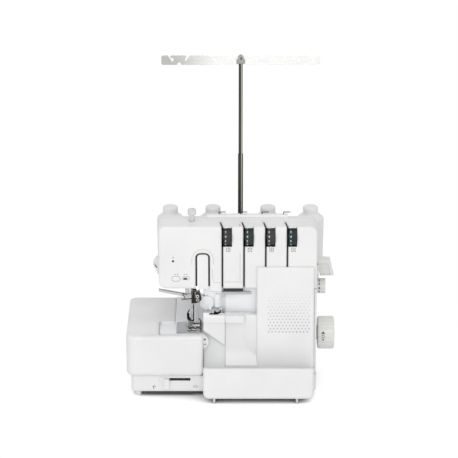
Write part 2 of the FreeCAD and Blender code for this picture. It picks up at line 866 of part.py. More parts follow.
def looper_cover():
    """The hinged front cover: a proud flat panel at the right and a swept shroud at the left."""
    wall = S.wall
    panel_head = panel_front + S.panel_lean
    panel_line = [(panel_front, cover_low), (panel_back, cover_low), (panel_back, cover_top),
                  (panel_head, cover_top)]
    panel = pad("yz", panel_line, panel_left, cover_right)
    round_edges(panel, S.panel_corner, slanted(panel_left), slanted(cover_right))
    round_edges(panel, S.panel_corner / 2, lies_on(z=cover_top, y=panel_head))
    front = head_front - S.shroud_proud
    rear = head_front + S.shroud_back
    panel_bend = panel_front + S.panel_corner + S.panel_lean / 2
    sweep = [(shroud_left, rear), (shroud_left, front), (shroud_left + S.shroud_flat, front),
             (panel_left - S.seam, panel_bend), (panel_left + wall, panel_bend), (panel_left + wall, rear)]
    shroud = pad("xy", sweep, cover_low, shroud_top, [(S.shroud_sweep, [2])])
    ledge = pad("xy", rectangle(shroud_left, shroud_left + S.ledge_width, head_front - S.ledge_proud, rear),
                shroud_top - S.ledge_height, shroud_top, [(S.panel_corner, [1])])
    skirt_front = panel_front + S.skirt_inset
    knee = front - S.skirt_knee
    edge_top = cover_low + S.skirt_edge
    knee_top = cover_low + S.skirt_knee_rise
    skirt_top = cover_low + S.skirt_height
    skirt_line = [(rear, cover_low), (skirt_front, cover_low), (skirt_front, edge_top), (knee, knee_top),
                  (front, skirt_top), (rear, skirt_top)]
    skirt = pad("yz", skirt_line, shroud_left, panel_left + wall, [(S.skirt_round, [3])])
    skirt_inside = [(rear + wall, cover_low - wall), (skirt_front + wall, cover_low - wall),
                    (skirt_front + wall, edge_top), (knee + wall, knee_top), (front + wall, skirt_top),
                    (rear + wall, skirt_top)]
    skirt_hollow = pad("yz", skirt_inside, shroud_left + wall, panel_left + wall, [(S.skirt_round, [3])])
    panel_inside = [(panel_front + wall, cover_low - wall), (rear + wall, cover_low - wall),
                    (rear + wall, cover_top - wall), (panel_head + wall, cover_top - wall)]
    panel_hollow = pad("yz", panel_inside, panel_left + wall, cover_right - wall)
    inner = [(shroud_left + wall, rear + wall), (shroud_left + wall, front + wall),
             (shroud_left + S.shroud_flat, front + wall),
             (panel_left + wall, panel_bend + wall), (panel_left + 2 * wall, rear),
             (panel_left + 2 * wall, rear + wall)]
    shroud_hollow = pad("xy", inner, cover_low - wall, shroud_top - wall)
    behind = box(panel_left, cover_right + wall, panel_back, rear + wall, cover_low - wall, cover_top + wall)
    swept = cut(fuse(shroud, ledge, skirt), shroud_hollow, skirt_hollow)
    relief = box(cover_right - 2 * wall, cover_right + wall, hinge_y, rear + wall, cover_low - wall, hinge_z)
    shell = cut(fuse(cut(panel, panel_hollow), swept), behind, relief)
    disc = rod("x", cover_right - wall, cover_right, hinge_y, hinge_z, S.hinge_ear)
    ahead = box(cover_right - 2 * wall, cover_right + wall, hinge_y - 2 * S.hinge_ear, hinge_y,
                hinge_z - 2 * S.hinge_ear, hinge_z + 2 * S.hinge_ear)
    pieces = [shell, cut(disc, ahead)]
    bores = []
    for arm, barrel in hinge_arm_spots():
        end = barrel + S.hinge_barrel_length
        pieces.append(rod("x", barrel, end, hinge_y, hinge_z, S.hinge_barrel_radius))
        pieces.append(box(barrel, end, panel_front + wall / 2, hinge_y, hinge_z - S.hinge_pin_radius,
                          hinge_z + S.hinge_pin_radius))
        bores.append(rod("x", barrel - wall, end + wall, hinge_y, hinge_z, S.hinge_pin_radius + S.running))
    return cut(fuse(*pieces), *bores)


def hinge_pins():
    pins = []
    for arm, barrel in hinge_arm_spots():
        spots = (arm, barrel, arm + S.hinge_arm_width, barrel + S.hinge_barrel_length)
        ends = sorted(spots, key=lambda size: size.value)
        pins.append(rod("x", ends[0], ends[-1], hinge_y, hinge_z, S.hinge_pin_radius))
    return group(*pins)


def knife_cover():
    """The fixed cover between the needle plate and the looper cover, cut off on a slant below."""
    wall = S.thin_wall
    left = bed_right + S.slide_gap
    side = shroud_left - S.slide_gap
    front = head_front - S.ledge_proud
    points = [(left, shroud_top), (left, shroud_top - S.knife_cover_left_low),
              (side, shroud_top - S.knife_cover_right_low), (side, shroud_top)]
    shell = pad("xz", points, front, front + S.knife_cover_depth)
    round_edges(shell, wall, lies_on(z=shroud_top, y=front))
    hollow = box(left + wall, side - wall, front + wall, front + 2 * S.knife_cover_depth,
                 cover_low, shroud_top - wall)
    ledge_low = shroud_top - S.ledge_height
    step = box(left - wall, side + wall, front - wall, front + wall, cover_low, ledge_low)
    outline = [(left, ledge_low + wall), points[1], points[2], (side, ledge_low + wall)]
    face = pad("xz", outline, front + wall, front + 2 * wall)
    return fuse(cut(shell, hollow, step), face)


def chip_chute():
    """A bent sheet that leads trimmings down into the tray, notched beside the upper knife."""
    front = base_front + S.wall
    top = shroud_top - S.chute_top_drop
    bend = shroud_top - S.chute_bend_drop
    thick = S.chute_thickness
    bend_y = head_front - S.chute_bend_back
    points = [(front, sill_top), (front + thick, sill_top), (bend_y + thick, bend),
              (head_front + S.chute_back + thick, top), (head_front + S.chute_back, top), (bend_y, bend)]
    left = bed_right + S.slide_gap
    side = shroud_left - 2 * S.slide_gap - S.thin_wall
    sheet = pad("yz", points, left, side)
    notch = box(left - thick, upper_knife_left() + S.knife_thickness + S.slide_gap, bend_y,
                head_front + S.chute_back + 2 * thick, bed_top - S.upper_knife_bite, top + thick)
    reach = (bend_y - front) * (S.chute_strip / (bend - sill_top))
    strip_top = sill_top + S.chute_strip
    strip_line = [(front, sill_top), (front + thick, sill_top), (front + reach + thick, strip_top),
                  (front + reach, strip_top)]
    strip = pad("yz", strip_line, side, shroud_left - S.slide_gap)
    return fuse(cut(sheet, notch), strip)


def head_outline(shrink):
    return rectangle(head_left + shrink, right - shrink, head_low + shrink, head_top - shrink)


def head_rounds(shrink):
    corners = ((S.head_low_corner, 0), (S.head_high_corner, 3), (S.head_right_corner, 2))
    return [(radius - shrink, [corner]) for radius, corner in corners]


def head_front_cover():
    """The front shell of the head, slotted for the threads and open for dials, tongue and bars."""
    wall = S.wall
    shell = pad("xz", head_outline(0.0), head_front, split, head_rounds(0.0))
    round_edges(shell, S.head_front_edge, lies_on(y=head_front))
    hollow = pad("xz", head_outline(wall), inner_front, split + wall, head_rounds(wall))
    cuts = [hollow]
    for x in slots:
        cuts.append(box(x - S.slot_half, x + S.slot_half, head_front - wall, inner_front + wall,
                        head_low - wall, head_top + wall))
        slot_end = inner_front + S.slot_roof
        roof_slot = [(x - S.slot_half, head_front), (x + S.slot_half, head_front),
                     (x + S.slot_half - S.slot_lean, slot_end), (x - S.slot_half - S.slot_lean, slot_end)]
        cuts.append(pad("xy", roof_slot, head_top - 2 * wall, head_top + wall))
        cuts.append(box(x + S.window_left, x + S.window_right, head_front - wall, inner_front + S.window_back,
                        dial_z - S.dial_radius + S.window_low, head_top + wall))
    take_up_right = -S.take_up_left + S.take_up_width
    take_up = rectangle(-S.take_up_left, take_up_right, head_low - wall, head_top - S.take_up_top)
    cuts.append(pad("xz", take_up, head_front - wall, inner_front + wall / 2, [(S.take_up_round, [2, 3])]))
    cuts.append(box(-S.mouth_left, -S.mouth_right, head_front + S.mouth_front, head_front + S.mouth_back,
                    head_low - wall, head_low + 2 * wall))
    cuts.append(box(slots[0], slots[1], inner_front, inner_front + 2 * wall,
                    head_low - wall, head_low + 2 * wall))
    cuts.append(rod("z", head_top - 2 * wall, head_top + wall, presser_x, presser_y,
                    S.knob_stem_radius + S.slide_gap))
    lip = box(take_up_right, slots[0] - S.slot_half, head_front, inner_front,
              head_low - S.lip_drop, head_low + wall)
    return fuse(cut(shell, *cuts), lip)


def take_up_guard():
    """The tongue panel that fills the take-up opening up to an even thread gap."""
    gap = S.take_up_gap
    left = -S.take_up_left + gap
    outline = rectangle(left, left + S.take_up_width - 2 * gap, head_low, head_top - S.take_up_top - gap)
    return pad("xz", outline, head_front, inner_front + S.running, [(S.take_up_round - gap, [2, 3])])


def thread_channel_plate():
    """The dark plate behind the slots, with a tab that hangs below the head between two of them."""
    low = head_low + S.wall + S.slide_gap
    front = inner_front + S.running
    rear = front + S.channel_plate
    plate = box(-S.take_up_left - S.channel_plate_side, slots[3] + S.window_right, front, rear,
                low, low + S.channel_plate_height)
    tab = box(slots[0] + S.slot_half, slots[1] - S.slot_half, front, rear,
              head_low - S.channel_tab, low + S.channel_tab)
    return fuse(plate, tab)


def rear_cover():
    """The rear shell: the back of the head with its sloping roof, and the column below."""
    wall = S.wall
    roof = [(split, head_low), (split, head_top), (roof_break, head_top), (back, rear_top), (back, head_low)]
    head = pad("yz", roof, head_left, right)
    round_edges(head, S.head_high_corner, lies_on(x=head_left, z=head_top), slanted(head_left))
    round_edges(head, S.head_right_corner, lies_on(x=right, z=head_top), slanted(right))
    round_edges(head, S.head_low_corner, lies_on(x=head_left, z=head_low))
    column = pad("xy", rectangle(column_left, right, split, back), base_top, head_low + wall,
                 [(S.case_corner, [3])])
    inner_roof = [(split - wall, head_low + wall), (split - wall, head_top - wall),
                  (roof_break, head_top - wall), (back - wall, rear_top - wall),
                  (back - wall, head_low + wall)]
    head_hollow = pad("yz", inner_roof, head_left + wall, inner_right)
    round_edges(head_hollow, S.head_high_corner - wall, lies_on(x=head_left + wall, z=head_top - wall),
                slanted(head_left + wall))
    round_edges(head_hollow, S.head_right_corner - wall, lies_on(x=inner_right, z=head_top - wall),
                slanted(inner_right))
    round_edges(head_hollow, S.head_low_corner - wall, lies_on(x=head_left + wall, z=head_low + wall))
    column_hollow = pad("xy", rectangle(column_left + wall, inner_right, split - wall, back - wall),
                        base_top - wall, head_low + 2 * wall, [(S.case_corner - wall, [3])])
    cuts = [head_hollow, column_hollow]
    cuts.append(rod("x", inner_right - wall, right + wall, shaft_y, shaft_z, S.bearing_radius))
    cuts.append(rod("x", inner_right - wall, right + wall, shaft_y, shaft_z + S.length_dial_rise,
                    S.length_dial_shaft + S.seam))
    air_z = head_low + S.air_lever_rise
    half = S.air_lever_depth / 2 + S.slide_gap
    cuts.append(box(inner_right - wall, right + wall, shaft_y - half, shaft_y + half,
                    air_z - 2 * S.air_lever_hub, air_z + 2 * S.air_lever_hub))
    cuts.append(inlet_block(S.running))
    switch_z = base_top + S.switch_rise
    switch_y = back - S.switch_back - S.switch_width
    switch_half = S.switch_height / 2 + S.switch_clear
    cuts.append(box(inner_right - wall, right + wall,
                    switch_y - S.slide_gap, switch_y + S.switch_width + S.slide_gap,
                    switch_z - switch_half, switch_z + switch_half))
    for x, z in screw_spots():
        cuts.append(rod("y", back - 2 * wall, back + wall, x, z, S.screw_radius + S.running))
    cheek = pad("xy", rectangle(cover_right + S.cover_side_gap, right, head_front + S.seam, split + wall),
                base_top, head_low - S.seam, [(S.thin_wall, [1])])
    return cut(fuse(head, column, cheek), *cuts)


def slanted(x):
    """A test for the sloping roof edge at one side."""
    level = as_size(x).value

    def test(bounds):
        flat = near(bounds.XMin, level) and near(bounds.XMax, level)
        slope = min(bounds.YMax - bounds.YMin, bounds.ZMax - bounds.ZMin)
        return flat and slope > LEAST_SLOPE
    return test


def screw_spots():
    rows = (base_top + S.screw_inset, rear_top - S.screw_inset)
    return [(x, z) for x in (column_left + S.screw_inset, inner_right - S.screw_inset) for z in rows]


def casing_screws():
    profile = [(0.0, -S.screw_length), (S.screw_radius, -S.screw_length), (S.screw_radius, 0.0),
               (S.screw_head_radius, 0.0), (S.screw_head_radius, S.screw_head), (0.0, S.screw_head)]
    return group(*[turned(profile, "y", x, back, z) for x, z in screw_spots()])


def throat_panel():
    """The swept wall behind the needle, with a boss, an air tube and the ears of the upper knife."""
    thick = S.throat_plate
    left = column_left + S.seam
    corner = left + S.throat_bend_x
    swell = left + S.throat_swell_x
    end = inner_right - S.slide_gap
    bend_y = split - S.throat_bend_y
    swell_y = split - S.throat_swell_y
    front_y = split - S.throat_front_y
    front_line = [(left, split - S.seam), (left, split - S.throat_left_step), (corner, bend_y),
                  (swell, swell_y), (panel_left, front_y), (end, front_y)]
    back_line = [(end, front_y + thick), (panel_left, front_y + thick), (swell + thick, swell_y + thick),
                 (corner + thick, bend_y + thick), (left + thick, split - S.seam)]
    low = bed_top + S.slide_gap
    wall = pad("xy", front_line + back_line, low, head_low - S.seam)
    boss_x = left + S.boss_radius - S.boss_x
    boss = rod("y", bend_y - S.boss_length, bend_y + thick, boss_x, bed_top + S.boss_rise, S.boss_radius)
    pivot_y, pivot_z, hub = knife_pivot()
    tube_low = pivot_z + S.knife_hub_radius + 2 * S.slide_gap
    tube = rod("z", tube_low, tube_low + S.air_tube_height, left + S.air_tube_x, bend_y, S.air_tube_radius)
    pieces = [wall, boss, tube]
    for x in (hub - S.slide_gap - S.knife_ear, hub + S.knife_hub_length + S.slide_gap):
        pieces.append(box(x, x + S.knife_ear, pivot_y - S.knife_hub_radius, bend_y + thick,
                          pivot_z - S.knife_hub_radius, pivot_z + S.knife_hub_radius))
    pieces.append(rod("x", hub - S.knife_ear, hub + S.knife_hub_length + S.knife_ear, pivot_y, pivot_z,
                      S.knife_pin_radius))
    return fuse(*pieces)


def upper_knife_left():
    return bed_right + 2 * S.knife_gap + S.knife_thickness


def knife_pivot():
    hub = bed_right + S.seam + S.knife_hub_shift
    return needle_y + S.knife_pivot_back, bed_top + S.knife_arm_rise + S.knife_arm_height / 2, hub


def upper_knife():
    """A swinging blade beside the needle plate, on an arm that turns on the throat panel's pin."""
    left = upper_knife_left()
    low = bed_top - S.upper_knife_bite
    arm_low = bed_top + S.knife_arm_rise
    arm_top_z = arm_low + S.knife_arm_height
    half = S.knife_length / 2
    blade = box(left, left + S.knife_thickness, needle_y - half, needle_y + half, low, arm_top_z)
    bar = box(left, left + S.knife_arm_length - S.knife_thickness, needle_y - S.knife_arm_depth / 2,
              needle_y + S.knife_arm_depth / 2, arm_low, arm_top_z)
    pivot_y, pivot_z, hub = knife_pivot()
    end = hub + S.knife_hub_length
    link = box(hub, end, needle_y, pivot_y, arm_low, arm_top_z)
    barrel = rod("x", hub, end, pivot_y, pivot_z, S.knife_hub_radius)
    bore = rod("x", hub - S.wall, end + S.wall, pivot_y, pivot_z, S.knife_pin_radius + S.running)
    return cut(fuse(blade, bar, link, barrel), bore)


def lower_knife():
    left = bed_right + S.knife_gap / 2
    half = S.knife_length / 2
    return box(left, left + S.knife_thickness, needle_y - half, needle_y + half,
               bed_top - S.lower_knife_height, bed_top)


def feed_dogs():
    """Three toothed bars on one carrier that reaches to the frame."""
    low = bed_top - S.dog_base_drop
    top = bed_top + S.dog_proud
    front = presser_y - S.dog_length / 2
    end = front + S.dog_length - 2 * S.dog_clear
    spots = dog_spots()
    pieces = [box(x, x + S.dog_width, front, end, low, top) for x in spots]
    pieces.append(box(spots[0], spots[2] + S.dog_width, front, end, low, low + S.dog_base))
    pieces.append(box(spots[0], frame_left - S.seam, end - S.dog_bar_width, end,
                      low - S.dog_bar, low + S.dog_base / 2))
    return fuse(*pieces)


def looper(x, pivot_z, y, arm, blade, tip):
    """A hub, an upright arm and a pointed blade that leans left."""
    half = S.looper_width / 2
    thick = S.looper_plate
    top = pivot_z + arm
    hub_end = y + thick + S.looper_hub_length
    points = [(x - half, pivot_z), (x + half, pivot_z), (x + half, top + half), (x - blade, top + tip),
              (x - half, top - half)]
    plate = pad("xz", points, y, y + thick)
    hub = rod("y", y, hub_end, x, pivot_z, S.looper_hub)
    bore = rod("y", y - S.wall, hub_end + S.wall, x, pivot_z, S.looper_pin + S.running)
    return cut(fuse(plate, hub), bore)


def lower_looper_place():
    return bed_right + S.lower_looper_x, base_top + S.lower_looper_rise, needle_y + S.lower_looper_y


def upper_looper_place():
    return bed_right + S.upper_looper_x, base_top + S.upper_looper_rise, needle_y + S.upper_looper_y


def main_frame():
    """The casting that carries shaft, motor, bars, loopers, tension units and cover hinge."""
    left = frame_left
    wall = S.frame_left_wall
    right_wall = frame_right - S.frame_right_wall
    post_y = hinge_y + S.hinge_post_back
    pieces = [box(left, inner_right - S.slide_gap, post_y - S.frame_plate, frame_back, frame_low, frame_top)]
    pieces.append(box(left, left + wall, cross_front, frame_back, frame_low, base_top + S.frame_left_rise))
    pieces.append(box(right_wall, frame_right, split + S.slide_gap, frame_back, frame_low, arm_plate_top))
    pieces.append(box(left, frame_right, frame_back - S.frame_plate, frame_back, frame_low, arm_plate_top))
    pieces.append(box(left, left + S.frame_cross_right, cross_front, cross_front + S.frame_cross_y, frame_low,
                      base_top + S.frame_left_rise))
    side = S.bar_block_side
    pieces.append(box(presser_x - side, frame_right, arm_plate_front, frame_back,
                      arm_plate_low, arm_plate_top))
    pieces.append(box(presser_x - side, needle_x + side, needle_y - side, split,
                      arm_plate_low, arm_plate_top))
    bracket_y = dial_y + S.dial_radius + S.slide_gap
    bracket_end = bracket_y + S.bracket_depth
    bracket_low = dial_z - S.bracket_height / 2
    bracket_top = dial_z + S.bracket_height / 2
    first = slots[0] - S.stud_left - S.ear_width
    pieces.append(box(first, slots[3] + S.stud_right, bracket_y, bracket_end, bracket_low, bracket_top))
    for x in (first, slots[3]):
        pieces.append(box(x, x + 2 * S.ear_width, bracket_y, bracket_end, arm_plate_low, bracket_top))
    for x in slots:
        ear = x - S.stud_left - S.ear_width
        pieces.append(box(ear, ear + S.ear_width, dial_y - S.stud_radius, bracket_end,
                          bracket_low, bracket_top))
    bores = []
    for arm, barrel in hinge_arm_spots():
        end = arm + S.hinge_arm_width
        pieces.append(box(arm, end, post_y - S.frame_plate, post_y,
                          frame_low, hinge_z + S.hinge_barrel_radius))
        pieces.append(box(arm, end, hinge_y, post_y,
                          hinge_z - S.hinge_barrel_radius, hinge_z + S.hinge_barrel_radius))
        pieces.append(rod("x", arm, end, hinge_y, hinge_z, S.hinge_barrel_radius))
        bores.append(rod("x", arm - S.wall, end + S.wall, hinge_y, hinge_z, S.hinge_pin_radius))
    for x, z, y in (lower_looper_place(), upper_looper_place()):
        pieces.append(rod("y", y - S.slide_gap, cross_front + S.frame_cross_y, x, z, S.looper_pin))
    pivot_x, pivot_z, pivot_y = presser_lever_pivot()
    post_end = pivot_y + S.lever_post
    pieces.append(box(pivot_x - S.lever_post / 2, pivot_x + S.lever_post / 2, pivot_y, post_end,
                      pivot_z - S.lever_pin, arm_plate_top))
    pieces.append(rod("y", pivot_y - S.lever_width - S.seam, post_end, pivot_x, pivot_z, S.lever_pin))
    pieces.append(box(motor_right, motor_right + S.motor_plate, motor_y - S.motor_radius, frame_back,
                      motor_z - S.motor_radius, motor_z + S.motor_radius))
    air_x, air_z = air_pivot()
    half = S.air_lever_depth / 2 + S.slide_gap
    ear_front = shaft_y - half - S.air_ear
    ear_back = shaft_y + half
    for y in (ear_front, ear_back):
        pieces.append(box(frame_right - S.wall, air_x + S.air_lever_pin, y, y + S.air_ear,
                          air_z - S.air_lever_hub, air_z + S.air_lever_hub))
    pieces.append(rod("y", ear_front, ear_back + S.air_ear, air_x, air_z, S.air_lever_pin))
    bores.append(rod("x", left - wall, left + 2 * wall, shaft_y, shaft_z, S.bearing_radius))
    bores.append(rod("x", right_wall - wall, frame_right + wall, shaft_y, shaft_z, S.bearing_radius))
    for x, y in ((needle_x, needle_y), (presser_x, presser_y)):
        bores.append(rod("z", arm_plate_low - wall, arm_plate_top + wall, x, y, S.bush_radius))
    bores.append(rod("x", motor_right - wall, motor_right + 2 * S.motor_plate, motor_y, motor_z,
                     S.motor_pulley_radius))
    return cut(fuse(*pieces), *bores)


def bushes():
    inner = S.shaft_radius + S.running
    right_wall = frame_right - S.frame_right_wall
    rings = [tube("x", frame_left, frame_left + S.frame_left_wall, shaft_y, shaft_z, S.bearing_radius, inner)]
    rings.append(tube("x", right_wall, frame_right, shaft_y, shaft_z, S.bearing_radius, inner))
    for x, y in ((needle_x, needle_y), (presser_x, presser_y)):
        rings.append(tube("z", arm_plate_low, arm_plate_top, x, y, S.bush_radius, S.bar_radius + S.running))
    return group(*rings)


def main_shaft():
    end = right + S.wheel_gap + S.wheel_width / 2
    return rod("x", frame_left - S.slide_gap, end, shaft_y, shaft_z, S.shaft_radius)


def pulley(radius, bore, y, z):
    """A flanged pulley whose groove holds the belt."""
    groove = radius - S.pulley_groove
    flange = (S.pulley_width - S.belt_width) / 2 - S.slide_gap / 2
    far_flange = S.pulley_width - flange
    profile = [(bore, 0.0), (radius, 0.0), (radius, flange), (groove, flange), (groove, far_flange),
               (radius, far_flange), (radius, S.pulley_width), (bore, S.pulley_width)]
    return turned(profile, "x", pulley_left, y, z)


def motor_pulley():
    stub = rod("x", motor_right + S.seam, pulley_right, motor_y, motor_z, S.motor_shaft_radius)
    return fuse(pulley(S.motor_pulley_radius, S.motor_shaft_radius / 2, motor_y, motor_z), stub)


def drive_belt():
    """A flat loop round both pulleys, made of two arcs and the two straight runs between them."""
    gap = S.seam.value
    small = S.motor_pulley_radius.value - S.pulley_groove.value + gap
    large = S.drive_pulley_radius.value - S.pulley_groove.value + gap
    here = FreeCAD.Vector(0, shaft_y.value, shaft_z.value)
    there = FreeCAD.Vector(0, motor_y.value, motor_z.value)
    low_x = (pulley_left + (S.pulley_width - S.belt_width) / 2).value
    along = there - here
    lean = math.atan2(along.z, along.y)
    spread = math.acos((large - small) / along.Length)

    def spot(centre, radius, angle):
        return centre + FreeCAD.Vector(0, radius * math.cos(angle), radius * math.sin(angle))

    def loop(extra):
        big = large + extra
        little = small + extra
        first = lean + spread
        last = lean - spread
        far = Part.Arc(spot(there, little, last), spot(there, little, lean), spot(there, little, first))
        close = Part.Arc(spot(here, big, first), spot(here, big, lean + math.pi), spot(here, big, last))
        runs = [Part.LineSegment(spot(there, little, first), spot(here, big, first)),
                Part.LineSegment(spot(here, big, last), spot(there, little, last))]
        edges = [far.toShape(), runs[0].toShape(), close.toShape(), runs[1].toShape()]
        return Part.Face(Part.Wire(edges)).extrude(FreeCAD.Vector(S.belt_width.value, 0, 0))

    belt = doc.addObject("Part::Feature", "Belt")
    belt.Shape = loop(S.belt_thickness.value).cut(loop(0.0))
    belt.Placement = FreeCAD.Placement(FreeCAD.Vector(low_x, 0, 0), FreeCAD.Rotation())
    return belt


def handwheel():
    """A rounded wheel with finger flutes, on a hub that fits the shaft."""
    gap = S.wheel_gap - S.slide_gap
    far = gap + S.wheel_width
    bore = S.shaft_radius + S.running / 2
    depth = gap + S.wheel_width / 2
    profile = [(bore, 0.0), (S.wheel_hub, 0.0), (S.wheel_hub, gap), (S.wheel_radius, gap),
               (S.wheel_radius, far), (0.0, far), (0.0, depth), (bore, depth)]
    wheel = turned(profile, "x", right + S.slide_gap, shaft_y, shaft_z)

    def rim(bounds):
        wide = near(bounds.XMax - bounds.XMin, 2 * S.wheel_radius.value)
        return wide and near(bounds.ZMin, bounds.ZMax)
    round_edges(wheel, S.wheel_edge, rim)
    return fluted(wheel, WHEEL_FLUTES, S.wheel_flute, S.wheel_radius + S.wheel_flute / 2,
                  gap - S.wall, far - S.wheel_edge)


def knob(radius, width, gap, shaft, reach, x, y, z):
    """A fluted dial on a shaft; the gap is the bare shaft between the wall and the dial."""
    end = gap + width
    profile = [(0.0, -reach), (shaft, -reach), (shaft, gap), (radius, gap), (radius, end), (0.0, end)]
    dial = turned(profile, "x", x, y, z)
    flute = S.wheel_flute / 2
    return fluted(dial, KNOB_FLUTES, flute, radius + flute / 2, gap - S.slide_gap, end - 2 * flute)


def stitch_length_dial():
    return knob(S.length_dial_radius, S.length_dial_width, S.length_dial_gap, S.length_dial_shaft, 3 * S.wall,
                right, shaft_y, shaft_z + S.length_dial_rise)


def width_dial():
    """A dial that faces the front; its shaft runs in the bed's front wall."""
    depth = S.width_dial_depth
    shaft = S.width_dial_shaft
    reach = 2 * S.thin_wall
    profile = [(0.0, 0.0), (S.width_dial_radius, 0.0), (S.width_dial_radius, depth), (shaft, depth),
               (shaft, depth + reach), (0.0, depth + reach)]
    dial = turned(profile, "y", bed_right - S.width_dial_inset, arm_front - S.slide_gap - depth,
                  base_top + S.width_dial_rise)
    flute = S.wheel_flute / 2
    return fluted(dial, KNOB_FLUTES, flute, S.width_dial_radius + flute / 2, 2 * flute, depth + flute)


def tension_dial(i):
    profile = [(S.stud_radius + S.running, 0.0), (S.dial_radius, 0.0), (S.dial_radius, S.dial_width),
               (S.stud_radius + S.running, S.dial_width)]
    dial = turned(profile, "x", slots[i] + S.dial_left, dial_y, dial_z)
    return fluted(dial, DIAL_FLUTES, S.dial_flute, S.dial_radius + S.dial_flute / 3, S.dial_width / 2,
                  S.dial_width + S.wall)


def tension_units():
    """Four studs, each with the pair of discs that the thread runs between."""
    units = []
    inner = S.disc_inner
    outer = S.disc_outer
    stud = S.stud_radius
    for x in slots:
        profile = [(0.0, -S.stud_left), (stud, -S.stud_left), (stud, -outer), (S.disc_radius, -outer),
                   (S.disc_radius, -inner), (stud, -inner), (stud, inner), (S.disc_radius, inner),
                   (S.disc_radius, outer), (stud, outer), (stud, S.stud_right), (0.0, S.stud_right)]
        units.append(turned(profile, "x", x, dial_y, dial_z))
    return group(*units)


def thread_guide_rail():
    rail_y = split + S.slide_gap
    outline = rectangle(-S.rail_left, slots[3] + S.rail_right, head_top, head_top + S.rail_height)
    return pad("xz", outline, rail_y, rail_y + S.rail_depth, [(S.rail_height / 2, [2, 3])])


def thread_guide_hooks():
    """Bent wire hooks that stand on the rail, one behind each thread slot."""
    hooks = []
    top = head_top + S.rail_height
    y = split + S.slide_gap + S.rail_depth / 2
    for slot in slots:
        x = slot - S.hook_shift
        post = rod("z", top, top + S.hook_height, x, y, S.hook_radius)
        arm = rod("x", x - S.hook_radius, x + S.hook_length, y, top + S.hook_height, S.hook_radius)
        hooks.append(fuse(post, arm))
    return group(*hooks)


def thread_cutter():
    """A wedge on the left cheek with a narrow slit for the thread."""
    low = head_low + S.cutter_low
    top = low + S.cutter_height
    tip = head_left - S.cutter_reach
    slit = low + S.cutter_slit_rise
    points = [(head_left, low), (head_left, top), (head_left - S.cutter_top_reach, top),
              (tip, slit + S.cutter_slit), (head_left - S.cutter_slit_root, slit),
              (tip, slit - S.cutter_slit)]
    y = head_front + S.cutter_back
    return pad("xz", points, y, y + S.cutter_depth)


def lamp_lens():
    x = -S.mouth_right + S.lamp_right
    y = head_front + S.lamp_front
    return box(x, x + S.lamp_width, y, y + S.lamp_depth, head_low - S.lamp_height, head_low)


def needle_bar():
    return rod("z", clamp_top, bar_top, needle_x, needle_y, S.bar_radius)


def needle_clamp():
    """The block at the foot of the needle bar, stepped in below, with its screw head."""
    half = S.clamp_width / 2
    deep = S.clamp_depth / 2
    middle = clamp_low + S.clamp_height / 2
    top_block = box(needle_x - half, needle_x + half, needle_y - deep, needle_y + deep, middle, clamp_top)
    low_deep = S.clamp_foot_depth / 2
    low_block = box(needle_x - S.clamp_foot_left, needle_x + S.clamp_foot_right,
                    needle_y - low_deep, needle_y + low_deep, clamp_low, middle)
    screw = rod("y", needle_y - deep - S.screw_head, needle_y, needle_x + half / 2, middle + half / 2,
                S.screw_head_radius)
    return fuse(top_block, low_block, screw)


def needles():
    tip = clamp_low - S.needle_length
    profile = [(0.0, 0.0), (S.needle_radius, S.needle_point), (S.needle_radius, S.needle_length),
               (0.0, S.needle_length)]
    half = S.needle_pitch / 2
    return group(*[turned(profile, "z", x, needle_y, tip) for x in (needle_x - half, needle_x + half)])


def presser_bar():
    return rod("z", shank_top, bar_top, presser_x, presser_y, S.bar_radius)


def presser_foot():
    """A sole with a needle slot and an ankle that meets the presser bar."""
    left = needle_x + S.needle_inset - S.sole_thickness / 2 - S.sole_width
    front = presser_y + S.shank_depth / 2 - S.sole_length
    sole_top = sole_low + S.sole_thickness
    sole = pad("xy", rectangle(left, left + S.sole_width, front, front + S.sole_length),
               sole_low, sole_top, [(S.plate_edge, [0, 1, 2, 3])])
    half = S.needle_slot_width / 2
    slot = box(needle_x - half, needle_x + half,
               needle_y - S.needle_slot_length, needle_y + S.needle_slot_length / 2,
               sole_low - S.wall, sole_top + S.wall)
    shank = box(presser_x - S.shank_width / 2, presser_x + S.shank_width / 2,
                presser_y - S.shank_depth / 2, presser_y + S.shank_depth / 2, sole_top, shank_top)
    return fuse(cut(sole, slot), shank)


def presser_lever_pivot():
    return presser_x - S.lever_pivot_shift, head_low - S.lever_pivot_drop, presser_y - S.lever_width / 2


def presser_lever():
    """A thumb lever that leans up to the left from its pivot."""
    x, z, y = presser_lever_pivot()
    half = S.lever_thickness / 2
    tip = x - S.lever_reach
    tip_z = z + S.lever_rise
    points = [(x, z - half), (x, z + half), (tip, tip_z + half / 2), (tip, tip_z - half)]
    arm = pad("xz", points, y - S.lever_width, y - S.seam)
    hub = rod("y", y - S.lever_width, y - S.seam, x, z, S.lever_hub)
    bore = rod("y", y - 2 * S.lever_width, y + S.lever_width, x, z, S.lever_pin + S.running)
    return cut(fuse(arm, hub), bore)


def pressure_knob():
    stem_top = S.knob_root + S.knob_stem_height
    top = stem_top + S.knob_height
    profile = [(0.0, 0.0), (S.knob_stem_radius, 0.0), (S.knob_stem_radius, stem_top),
               (S.knob_radius, stem_top), (S.knob_radius, top), (0.0, top)]
    knob_body = turned(profile, "z", presser_x, presser_y, head_top - S.knob_root)
    round_edges(knob_body, S.knob_round, lies_on(z=top))
    return knob_body


